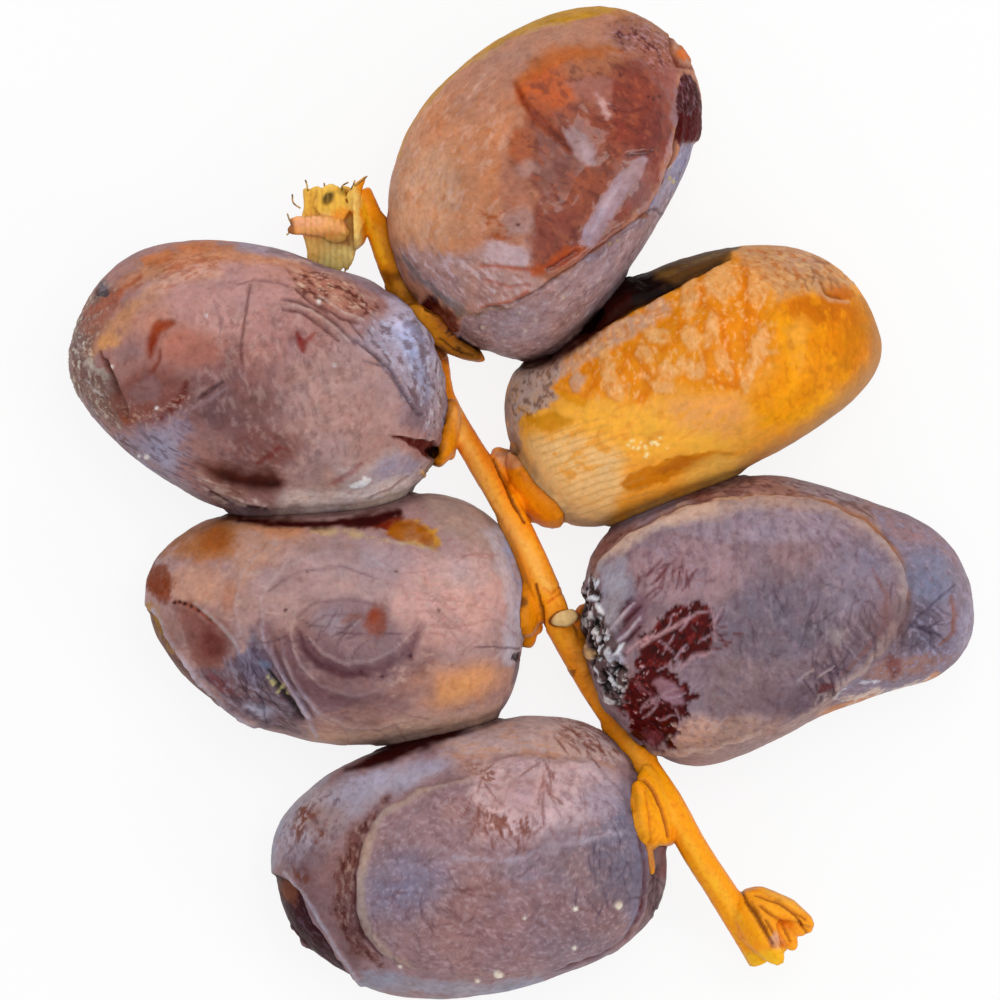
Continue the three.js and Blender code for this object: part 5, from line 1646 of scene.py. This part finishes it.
def strand_form():
    """The stalk with its caps, its torn end and its folded scales, remade in small even faces."""
    form = bmesh.new()
    form.from_mesh(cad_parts["strand"].data)
    bmesh.ops.remove_doubles(form, verts=form.verts, dist=STALK_WELD)
    everything = form.verts[:] + form.edges[:] + form.faces[:]
    edge = (TORN_EDGE, 0, 0)
    cut = bmesh.ops.bisect_plane(form, geom=everything, plane_co=edge, plane_no=(1, 0, 0), clear_inner=True)
    rim = [part for part in cut["geom_cut"] if isinstance(part, bmesh.types.BMEdge)]
    bmesh.ops.triangle_fill(form, edges=rim, use_beauty=True)
    # The pale torn bract, with the stub of a side shoot over it
    sheet(
        form, 0.7, (303, 187, 9.6), (309, 190, 9.8), (316, 186, 10), (323, 189, 10.2), (331, 186, 10.4),
        (338, 190, 10.6), (345, 186, 10.6), (351, 189, 10.8), (357, 200, 10.8), (360, 222, 10.8),
        (357, 240, 10.4), (354, 256, 9.8), (349, 268, 9.2), (343, 265, 9.2), (338, 270, 9), (331, 264, 9),
        (325, 268, 8.8), (318, 263, 8.8), (310, 262, 8.8), (307, 250, 9), (304, 236, 9.2), (301, 222, 9.4),
        (304, 206, 9.5),
    )
    sheet(
        form, 0.6, (318, 190, 11.2), (331, 184, 11.4), (345, 190, 11.6), (348, 214, 11.8), (340, 222, 11.6),
        (322, 216, 11.2), (314, 206, 11),
    )
    sheet(
        form, 0.5, (347, 196, 12.4), (356, 184, 12.6), (366, 176, 12.4), (362, 188, 12.4), (358, 206, 12),
        (352, 214, 12),
    )
    lumps(
        form,
        (318, 226, 12.0, (2.7, 1.05, 0.95), 2, 0),
        (304, 223, 12.2, (1.5, 0.6, 0.6), -8, 0),
        (300, 229, 12.0, (1.3, 0.55, 0.6), 6, 0),
        (333, 230, 11.6, (1.8, 1.3, 1.1), -20, 0),
    )
    # The first and second caps, grown against the stalk
    lumps(
        form,
        (405, 290, 9.6, (2.2, 1.3, 1.3), -55, 0),
        (430, 312, 10.6, (2.0, 1.2, 2.2), -44, 0),
        (452, 334, 10.0, (2.6, 1.1, 2.0), -44, 0),
        (424, 334, 9.2, (3.4, 1.1, 1.6), -48, 0),
        (444, 440, 8.6, (2.2, 0.9, 1.8), -68, 0),
    )
    # The third cap, a thick plate along the stalk
    sheet(
        form, 4.0, (495, 456, 8.6), (514, 458, 8.6), (540, 480, 8.6), (566, 514, 8.4), (562, 521, 8.4),
        (524, 522, 8.4), (505, 490, 8.6),
    )
    lumps(form, (502, 459, 8.6, (1.4, 0.9, 1.6), -50, 0))
    # The fourth, fifth and sixth caps
    lumps(
        form,
        (529, 606, 10.2, (3.1, 1.0, 1.8), -70, 0),
        (527, 628, 9.6, (2.1, 0.95, 1.6), -84, 0),
        (578, 640, 9.6, (1.6, 0.8, 1.6), -60, 0),
        (643, 812, 16.0, (3.5, 1.1, 1.0), -80, 6),
        (636, 818, 16.2, (2.6, 0.8, 0.8), -82, 6),
        (655, 826, 15.4, (2.4, 0.8, 0.9), -92, 6),
        (650, 856, 15.9, (2.0, 0.5, 0.6), -80, 10),
    )
    # The knot with its little scale, then the folded scales of the empty lower cap
    lumps(
        form,
        (557, 600, 13.0, (0.7, 1.7, 1.5), 32, 0),
        (768, 908, 9.6, (2.8, 1.0, 1.3), -30, 0),
        (786, 912, 9.8, (2.3, 0.9, 1.2), -22, 0),
        (777, 926, 9.4, (2.2, 1.0, 1.3), -48, 0),
        (795, 926, 9.2, (1.9, 1.0, 1.1), -10, 0),
        (788, 938, 8.8, (1.5, 0.8, 1.0), -60, 0),
    )
    mesh = bpy.data.meshes.new("strand_bark")
    form.to_mesh(mesh)
    form.free()
    piece = placed("strand_bark", mesh)
    remesh = piece.modifiers.new("even faces", "REMESH")
    remesh.mode = "VOXEL"
    remesh.voxel_size = STALK_VOXEL
    ease = piece.modifiers.new("ease", "SMOOTH")
    ease.factor = EASE
    ease.iterations = STALK_EASING
    return applied(piece)


def strand():
    """The stalk from its torn top end to its cut lower end."""
    skin = Surface(strand_form(), STALK_CORNER, STALK_STEP, ORANGE, (OCHRE, ORANGE), seed=17)
    # The stalk lays and takes less painted shade where it touches the fruit
    skin.shading = 0.4
    skin.shaded = 0.55

    def mark(shape, colour, amount=0.85, soft=2.5, ragged=3.5, **more):
        """Paints a shape with the narrow edge that suits a thin stalk."""
        skin.mark(shape, colour, amount, soft, ragged, sway=0.2, **more)

    def crease(colour, *path, depth=0.12, amount=0.8):
        """A sunken line without lips, as stroke points."""
        core = stroke(*path)(skin.x, skin.y) + BARK_STIR * skin.fine
        share = (1 - smooth(*BARK_CREASE, core)) * skin.upper
        skin.lay(colour, share * amount)
        skin.height -= depth * MM * share

    # Fibres along the stalk, fine ribs in the paint and in the relief
    turn = math.radians(STALK_TURN)
    along = skin.points[:, 0] * math.cos(turn) + skin.points[:, 1] * math.sin(turn)
    across = skin.points[:, 1] * math.cos(turn) - skin.points[:, 0] * math.sin(turn)
    ribs = np.stack([along * RIB_SQUEEZE, across, skin.points[:, 2]], axis=1)
    fibre = skin.grain(ribs, RIB_WIDTH, 3, 0.7)
    # Stalk, with a painted highlight down its middle and painted shade along one side
    mark(line(30, (352, 190), (375, 235), (395, 285)), (232, 152, 12), 0.95, soft=8)
    mark(line(8, (358, 196), (376, 240), (386, 262)), (250, 184, 40), 0.85)
    mark(line(
        11, (452, 405), (462, 436), (480, 474), (504, 518), (528, 552), (548, 588),
    ), (255, 182, 92), 0.9, soft=5)
    # Painted shade along one side of the stalk
    mark(line(8, (468, 420), (492, 468), (520, 512), (545, 548), (562, 584)), (228, 124, 28), 0.7, soft=4)
    mark(line(40, (618, 715), (660, 790), (700, 860), (750, 935)), (254, 164, 22), 0.9, soft=10)
    mark(line(8, (632, 745), (668, 808), (702, 866), (738, 915)), (255, 184, 62), 0.7, soft=4)
    mark(line(9, (570, 640), (585, 672), (605, 706)), (255, 176, 70), 0.7, soft=4)
    # Torn top end
    mark(area((296, 176), (352, 176), (360, 200), (362, 275), (300, 275)), (240, 206, 122), 0.95, soft=3)
    mark(area((303, 186), (350, 186), (350, 212), (303, 216)), (236, 192, 66), 0.75, soft=6)
    mark(area((322, 240), (358, 236), (354, 270), (318, 268)), (232, 214, 138), 0.9, soft=5)
    mark(oval(318, 226, 32, 11), (232, 168, 110), 0.95, soft=3)
    mark(oval(308, 222, 16, 5), (236, 176, 140), 0.8, soft=3)
    mark(oval(338, 238, 14, 6, 20), (176, 100, 30), 0.7, soft=4)
    mark(oval(343, 214, 12, 6), (240, 150, 26), 0.8, soft=3)
    mark(oval(290, 226, 4, 8), (90, 48, 30), 0.8, soft=3)
    mark(oval(328, 199, 5, 7, 30), (40, 34, 10), 0.95, soft=2, ragged=2, rise=0.2)
    mark(oval(343, 193, 5, 4), (110, 90, 20), 0.7, soft=3)
    for x in range(304, 358, 6):
        crease((196, 156, 76), (x, 188, 1), (x + 1, 224, 1), (x + 3, 266, 1), depth=0.1, amount=0.45)
    # The first cap, brown to black where it has dried
    mark(area(
        (380, 268), (402, 276), (430, 292), (452, 318), (470, 338), (482, 360), (446, 364), (418, 330),
        (398, 304),
    ), (134, 74, 20), 0.95, soft=4)
    mark(line(12, (398, 284), (416, 306), (434, 330), (448, 346), (468, 362)), (222, 152, 38), 0.95, soft=5)
    mark(area((398, 272), (416, 282), (424, 298), (414, 300), (404, 288)), (104, 44, 10), 0.85, soft=4)
    mark(area(
        (422, 292), (442, 302), (462, 322), (472, 344), (460, 344), (444, 326), (428, 310),
    ), (88, 30, 16), 0.94, soft=4)
    mark(oval(429, 307, 6, 5), (48, 8, 10), 0.95, soft=2, rise=-0.2, wet=0.7)
    mark(oval(466, 350, 14, 8, 30), (132, 92, 30), 0.9, soft=4)
    dry = area((416, 286), (444, 300), (474, 342), (458, 348))
    skin.flecks(dry, (58, 20, 12), 1.2, 0.34, 0.85, 45, 1.6, 3)
    skin.flecks(dry, (188, 124, 50), 0.9, 0.2, 0.8, 45, 1.6, 3)
    for path in (
        ((440, 338, 1), (456, 350, 1), (472, 356, 1)), ((436, 346, 1), (450, 358, 1), (462, 362, 1)),
    ):
        crease((60, 34, 10), *path)
    # The second cap
    mark(area((428, 408), (452, 420), (456, 450), (446, 472), (432, 470)), (240, 158, 24), 0.9, soft=4)
    mark(line(5, (436, 420), (440, 446), (436, 468)), (150, 84, 12), 0.8, soft=3)
    # The third cap, an orange plate behind its neck
    mark(area(
        (505, 468), (516, 463), (568, 512), (560, 524), (524, 524), (508, 494),
    ), (250, 158, 10), 0.97, soft=3)
    mark(line(5, (520, 474), (545, 496), (564, 514)), (206, 116, 10), 0.6, soft=4)
    mark(area((490, 450), (512, 452), (520, 466), (508, 470), (498, 462)), (212, 160, 124), 0.9, soft=3)
    crease((88, 40, 16), (494, 460, 2), (504, 484, 3), (514, 504, 3), (524, 522, 2), depth=0.3)
    # The knot with its pale scale
    mark(oval(556, 602, 18, 9, 30), (248, 160, 46), 0.9, soft=4)
    crease((214, 112, 20), (540, 608, 1), (552, 600, 1.5), (566, 590, 1), depth=0.12)
    crease((206, 120, 30), (544, 588, 1), (552, 594, 1.5), (562, 582, 1), depth=0.1)
    mark(oval(564, 618, 15, 8, -12), (92, 46, 20), 0.95, soft=1.5, ragged=1)
    mark(oval(565, 618, 11.5, 5.6, -12), (222, 190, 132), 0.97, soft=1.5, ragged=1, rise=0.35)
    # The fourth and fifth caps
    mark(area(
        (514, 576), (530, 580), (546, 600), (546, 640), (530, 654), (514, 650),
    ), (246, 158, 18), 0.97, soft=3)
    mark(oval(524, 602, 4, 6), (96, 50, 10), 0.85, soft=2.5)
    mark(line(5, (520, 648), (534, 652)), (120, 70, 20), 0.8, soft=3)
    crease((110, 56, 14), (536, 584, 2), (541, 606, 3), (545, 630, 2), depth=0.25)
    # The sixth cap, ridged, with a pale dry edge and a tail
    mark(area(
        (616, 765), (646, 772), (668, 800), (668, 845), (656, 876), (644, 872), (630, 845), (618, 815),
    ), (255, 172, 16), 0.97, soft=3)
    for path in (
        ((636, 796, 1), (639, 820, 1.5), (643, 840, 1)),
        ((645, 792, 1), (649, 820, 1.5), (651, 842, 1)),
    ):
        crease((222, 132, 14), *path, depth=0.2, amount=0.7)
    crease(
        (170, 92, 16), (644, 780, 1.5), (652, 790, 2.5), (662, 808, 3), (668, 836, 2), depth=0.4,
        amount=0.85,
    )
    mark(line(5, (638, 796), (640, 822), (644, 840)), (255, 186, 44), 0.7, soft=3)
    mark(line(4, (624, 776), (625, 808), (632, 838), (644, 872)), (220, 182, 130), 0.75, soft=2.5)
    mark(oval(651, 858, 6, 14, -6), (222, 158, 90), 0.85, soft=3)
    # The empty lower cap, folded and dry, and the cut end
    mark(area(
        (740, 886), (770, 884), (822, 918), (824, 944), (790, 958), (768, 946), (752, 920),
    ), (242, 164, 40), 0.97, soft=3)
    for path in (
        ((756, 896, 1), (782, 904, 2), (806, 920, 1)),
        ((760, 906, 1), (782, 922, 2), (790, 942, 1)),
        ((776, 900, 1), (796, 916, 2), (808, 936, 1)),
        ((766, 920, 1), (774, 934, 2), (780, 946, 1)),
    ):
        crease((150, 82, 16), *path, depth=0.35)
    crease((112, 58, 12), (741, 890, 1), (748, 904, 3), (760, 922, 4), (772, 944, 2), depth=0.4)
    mark(line(5, (766, 892), (786, 900), (802, 910)), (244, 178, 70), 0.8, soft=3)
    mark(oval(784, 922, 9, 7), (230, 140, 8), 0.8, soft=4)
    mark(oval(775, 940, 6, 7), (228, 180, 150), 0.9, soft=3)
    mark(line(4, (752, 902), (762, 922), (772, 946)), (140, 74, 16), 0.8, soft=2.5)
    mark(area((736, 954), (790, 948), (788, 972), (742, 970)), (244, 190, 40), 0.9, soft=4)
    skin.colour *= (1 + RIB_TONE * fibre)[:, None]
    skin.height += RIB_HEIGHT * fibre
    # The rim darkening of the finish is painted shade along the stalk's sides
    return skin.finish(
        wrinkle=0.02, swell=0.03, mottle=0.45, veins=0.05, rim=0.3, contrast=1.1, tint=(1.14, 1.02, 0.84),
    )


def loose_fibres(material):
    """Thin dry fibres where the top end was torn, each a path that the nodes bend and thicken."""
    paths = (
        ((349, 200, 12.4), (356, 186, 12.8), (366, 176, 13.0)),
        ((346, 198, 12.2), (352, 188, 12.4), (357, 180, 12.6)),
        ((340, 194, 11.8), (343, 186, 12.0), (350, 182, 12.2)),
        ((300, 208, 9.8), (294, 204, 10.2), (292, 194, 10.6)),
        ((296, 226, 12.0), (290, 222, 12.2), (287, 216, 12.0)),
        ((298, 230, 11.8), (291, 230, 12.0), (286, 234, 11.8)),
        ((308, 192, 10.0), (306, 186, 10.2), (304, 181, 10.0)),
        ((324, 192, 10.4), (326, 186, 10.6), (325, 182, 10.6)),
        ((344, 262, 9.2), (346, 268, 9.0), (345, 273, 8.6)),
        ((330, 262, 9.0), (329, 268, 8.8), (331, 273, 8.4)),
    )
    points = [on_chart(*point) for path in paths for point in path]
    edges = [(3 * index + step, 3 * index + step + 1) for index in range(len(paths)) for step in (0, 1)]
    mesh = bpy.data.meshes.new("strand_fibres")
    mesh.from_pydata(points, edges, [])
    piece = placed("strand_fibres", mesh)
    tree = bpy.data.node_groups.new("bent fibres", "GeometryNodeTree")
    face = tree.interface
    face.new_socket("Paths", in_out="INPUT", socket_type="NodeSocketGeometry")
    thickness = face.new_socket("Thickness", in_out="INPUT", socket_type="NodeSocketFloat")
    bend = face.new_socket("Bend", in_out="INPUT", socket_type="NodeSocketFloat")
    face.new_socket("Fibres", in_out="OUTPUT", socket_type="NodeSocketGeometry")

    def node(kind, **settings):
        made = tree.nodes.new(kind)
        for key, value in settings.items():
            setattr(made, key, value)
        return made

    join = tree.links.new
    start, end = node("NodeGroupInput"), node("NodeGroupOutput")
    curve = node("GeometryNodeMeshToCurve")
    even = node("GeometryNodeResampleCurve")
    even.inputs["Count"].default_value = FIBRE_POINTS
    wave = node("ShaderNodeTexNoise", noise_dimensions="3D")
    wave.inputs["Scale"].default_value = 1 / FIBRE_WAVE
    centre = node("ShaderNodeVectorMath", operation="SUBTRACT")
    centre.inputs[1].default_value = (0.5, 0.5, 0.5)
    reach = node("ShaderNodeVectorMath", operation="SCALE")
    shift = node("GeometryNodeSetPosition")
    ring = node("GeometryNodeCurvePrimitiveCircle")
    ring.inputs["Resolution"].default_value = FIBRE_SIDES
    solid = node("GeometryNodeCurveToMesh")
    solid.inputs["Fill Caps"].default_value = True
    whole = node("GeometryNodeRealizeInstances")
    coat = node("GeometryNodeSetMaterial")
    coat.inputs["Material"].default_value = material
    join(start.outputs["Paths"], curve.inputs[0])
    join(curve.outputs[0], even.inputs["Curve"])
    join(even.outputs[0], shift.inputs["Geometry"])
    join(wave.outputs["Color"], centre.inputs[0])
    join(centre.outputs[0], reach.inputs[0])
    join(start.outputs["Bend"], reach.inputs["Scale"])
    join(reach.outputs[0], shift.inputs["Offset"])
    join(start.outputs["Thickness"], ring.inputs["Radius"])
    join(shift.outputs[0], solid.inputs[0])
    join(ring.outputs[0], solid.inputs[1])
    join(solid.outputs[0], whole.inputs[0])
    join(whole.outputs[0], coat.inputs["Geometry"])
    join(coat.outputs[0], end.inputs[0])
    bent = piece.modifiers.new("bent fibres", "NODES")
    bent.node_group = tree
    bent[thickness.identifier] = FIBRE_RADIUS
    bent[bend.identifier] = FIBRE_BEND
    return applied(piece)


class Shader:
    """A material's nodes, made in the order that they are asked for."""

    def __init__(self, name):
        self.material = bpy.data.materials.new(name)
        self.material.use_nodes = True
        self.tree = self.material.node_tree
        self.tree.nodes.clear()

    def node(self, kind, inputs=None, **settings):
        made = self.tree.nodes.new("ShaderNode" + kind)
        for key, value in settings.items():
            setattr(made, key, value)
        for key, value in (inputs or {}).items():
            self.plug(made.inputs[key], value)
        return made

    def plug(self, socket, value):
        if isinstance(value, bpy.types.NodeSocket):
            self.tree.links.new(value, socket)
        else:
            socket.default_value = value

    def painted(self, name):
        """A colour that was written to the mesh."""
        return self.node("Attribute", attribute_name=name).outputs["Color"]

    def noise(self, size, detail):
        """Soft noise with features of about the given size in metres."""
        place = self.node("TexCoord").outputs["Object"]
        inputs = {"Vector": place, "Scale": 1 / size, "Detail": detail}
        return self.node("TexNoise", inputs).outputs["Fac"]

    def ramp(self, value, low, high):
        """0 below low and 1 above high."""
        inputs = {"Value": value, "From Min": low, "From Max": high}
        return self.node("MapRange", inputs, interpolation_type="SMOOTHSTEP").outputs["Result"]

    def times(self, first, second):
        return self.node("Math", {0: first, 1: second}, operation="MULTIPLY").outputs[0]

    def times_and_add(self, first, second, third):
        return self.node("Math", {0: first, 1: second, 2: third}, operation="MULTIPLY_ADD").outputs[0]

    def mix(self, share, first, second, blend="MIX"):
        mixed = self.node("Mix", data_type="RGBA", blend_type=blend)
        self.plug(mixed.inputs[0], share)
        self.plug(mixed.inputs[6], first)
        self.plug(mixed.inputs[7], second)
        return mixed.outputs[2]

    def end(self, colour, roughness, height, depth, wet=None, **constants):
        """Joins the last nodes. Height raises the finish by up to a depth in metres."""
        bump = self.node("Bump", {"Height": height, "Distance": depth, "Strength": 1.0})
        inputs = {"Base Color": colour, "Roughness": roughness, "Normal": bump.outputs[0]}
        surface = self.node("BsdfPrincipled", inputs)
        for key, value in constants.items():
            surface.inputs[key.replace("_", " ")].default_value = value
        if wet is not None:
            self.plug(surface.inputs["Coat Weight"], wet)
        result = self.node("OutputMaterial")
        self.tree.links.new(surface.outputs[0], result.inputs[0])
        return self.material


def flat_paint(*colour):
    """A display colour, as a material's socket takes it."""
    return (*paint(*colour), 1.0)


def skin_material(name, glow, mottling):
    """Ripe skin: its painted colour broken by fine grain and waxy dust, and glossy where it is wet."""
    shader = Shader(name)
    colour = shader.painted("skin")
    film = shader.node("SeparateColor", {0: shader.painted("film")})
    wet, dust = film.outputs[0], film.outputs[1]
    mottle = shader.noise(0.7 * MM, detail=3.0)
    grain = shader.noise(0.22 * MM, detail=2.0)
    dark = shader.mix(1.0, colour, flat_paint(206, 160, 148), "MULTIPLY")
    dusty = shader.mix(1.0, colour, flat_paint(80, 76, 78), "SCREEN")
    colour = shader.mix(shader.times(shader.ramp(mottle, 0.45, 0.75), mottling), colour, dark)
    dots = shader.times(shader.ramp(grain, 0.56, 0.74), dust)
    colour = shader.mix(shader.times(dots, 0.5), colour, dusty)
    return shader.end(
        colour,
        roughness=shader.times_and_add(wet, -0.2, 0.5),
        height=shader.times_and_add(grain, 0.35, mottle),
        depth=0.09 * MM,
        wet=shader.times(wet, 0.8),
        Specular_IOR_Level=0.08,
        Coat_Roughness=0.1,
        Subsurface_Weight=glow,
        Subsurface_Radius=(1.0, 0.45, 0.25),
        Subsurface_Scale=1.2 * MM,
    )


def stalk_material():
    """Dry fibrous stalk with a dull waxy shine."""
    shader = Shader("stalk")
    colour = shader.painted("skin")
    mottle = shader.noise(0.5 * MM, detail=4.0)
    dark = shader.mix(1.0, colour, flat_paint(226, 196, 150), "MULTIPLY")
    colour = shader.mix(shader.times(shader.ramp(mottle, 0.45, 0.75), 0.5), colour, dark)
    return shader.end(
        colour,
        roughness=0.45,
        height=mottle,
        depth=0.06 * MM,
        Specular_IOR_Level=0.14,
        Subsurface_Weight=0.2,
        Subsurface_Radius=(1.0, 0.5, 0.2),
        Subsurface_Scale=1.0 * MM,
    )


def fibre_material():
    """Straw, brown in places."""
    shader = Shader("dry fibre")
    mottle = shader.noise(0.8 * MM, detail=2.0)
    colour = shader.mix(shader.ramp(mottle, 0.45, 0.6), flat_paint(212, 172, 96), flat_paint(120, 92, 40))
    return shader.end(colour, roughness=0.6, height=mottle, depth=0.02 * MM, Specular_IOR_Level=0.26)


def table_material():
    """White card that mostly glows, so that no shadow on it is deep."""
    shader = Shader("table")
    dull = shader.node("BsdfDiffuse", {"Color": TABLE_PAINT})
    glow = shader.node("Emission", {"Color": WHITE, "Strength": 1.0})
    both = shader.node("MixShader", {0: TABLE_GLOW})
    result = shader.node("OutputMaterial")
    shader.tree.links.new(dull.outputs[0], both.inputs[1])
    shader.tree.links.new(glow.outputs[0], both.inputs[2])
    shader.tree.links.new(both.outputs[0], result.inputs[0])
    return shader.material


def lay_table():
    """The table, which is no part of the strand."""
    half = TABLE_SIZE / 2
    corners = [(x, y, TABLE_LEVEL) for x, y in ((-half, -half), (half, -half), (half, half), (-half, half))]
    mesh = bpy.data.meshes.new("table")
    mesh.from_pydata(corners, [], [(0, 1, 2, 3)])
    table = placed("table", mesh)
    mesh.materials.append(table_material())


def light(name, share, size, place):
    """A soft square lamp that gives the middle of the table a share of the light that makes it white."""
    lamp = bpy.data.lights.new(name, "AREA")
    lamp.shape = "SQUARE"
    lamp.size = size
    distance = math.sqrt(sum(value * value for value in place))
    lamp.energy = share * math.pi**2 * distance**3 / place[2]
    holder = placed(name, lamp)
    holder.location = place
    holder.rotation_mode = "QUATERNION"
    holder.rotation_quaternion = holder.location.to_track_quat("Z", "Y")


def open_eye():
    """The camera, straight above the middle of the view."""
    eye = bpy.data.cameras.new("eye")
    eye.sensor_width = SENSOR
    eye.lens = SENSOR * (EYE_DISTANCE - VIEW_LEVEL) / VIEW_WIDTH
    eye.clip_start = EYE_NEAREST
    eye.clip_end = EYE_FARTHEST
    camera = placed("eye", eye)
    camera.location = (*VIEW_MIDDLE, EYE_DISTANCE)
    bpy.context.scene.camera = camera


def studio():
    """Pale glowing table, white sky, a window beyond the left edge and two lamps on the right."""
    scene = bpy.context.scene
    scene.view_settings.view_transform = "Standard"
    scene.view_settings.look = "None"
    scene.world = bpy.data.worlds.new("sky")
    scene.world.use_nodes = True
    sky = scene.world.node_tree.nodes["Background"]
    sky.inputs["Color"].default_value = WHITE
    sky.inputs["Strength"].default_value = SKY_STRENGTH
    for name, lamp in LAMPS.items():
        light(name, *lamp)
    lay_table()
    open_eye()


studio()
finishes = {  # how much light goes through each skin, and how much of it is mottled dark
    "date_top": (0.12, 0.3),
    "date_left_upper": (0.08, 0.35),
    "date_right_upper": (0.2, 0.12),
    "date_right_lower": (0.06, 0.4),
    "date_left_lower": (0.1, 0.3),
    "date_bottom": (0.06, 0.35),
}
fruits = {
    "date_top": date_top(),
    "date_left_upper": date_left_upper(),
    "date_right_upper": date_right_upper(),
    "date_right_lower": date_right_lower(),
    "date_left_lower": date_left_lower(),
    "date_bottom": date_bottom(),
}
stalk = strand()
press_together([*fruits.values(), stalk])
for name, skin in fruits.items():
    skin.write()
    skin.piece.data.materials.append(skin_material(name + "_finish", *finishes[name]))
    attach(skin.piece, "root")
    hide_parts(name)

stalk.write()
stalk.piece.data.materials.append(stalk_material())
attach(stalk.piece, "root")
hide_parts("strand")

fibres = loose_fibres(fibre_material())
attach(fibres, "root")
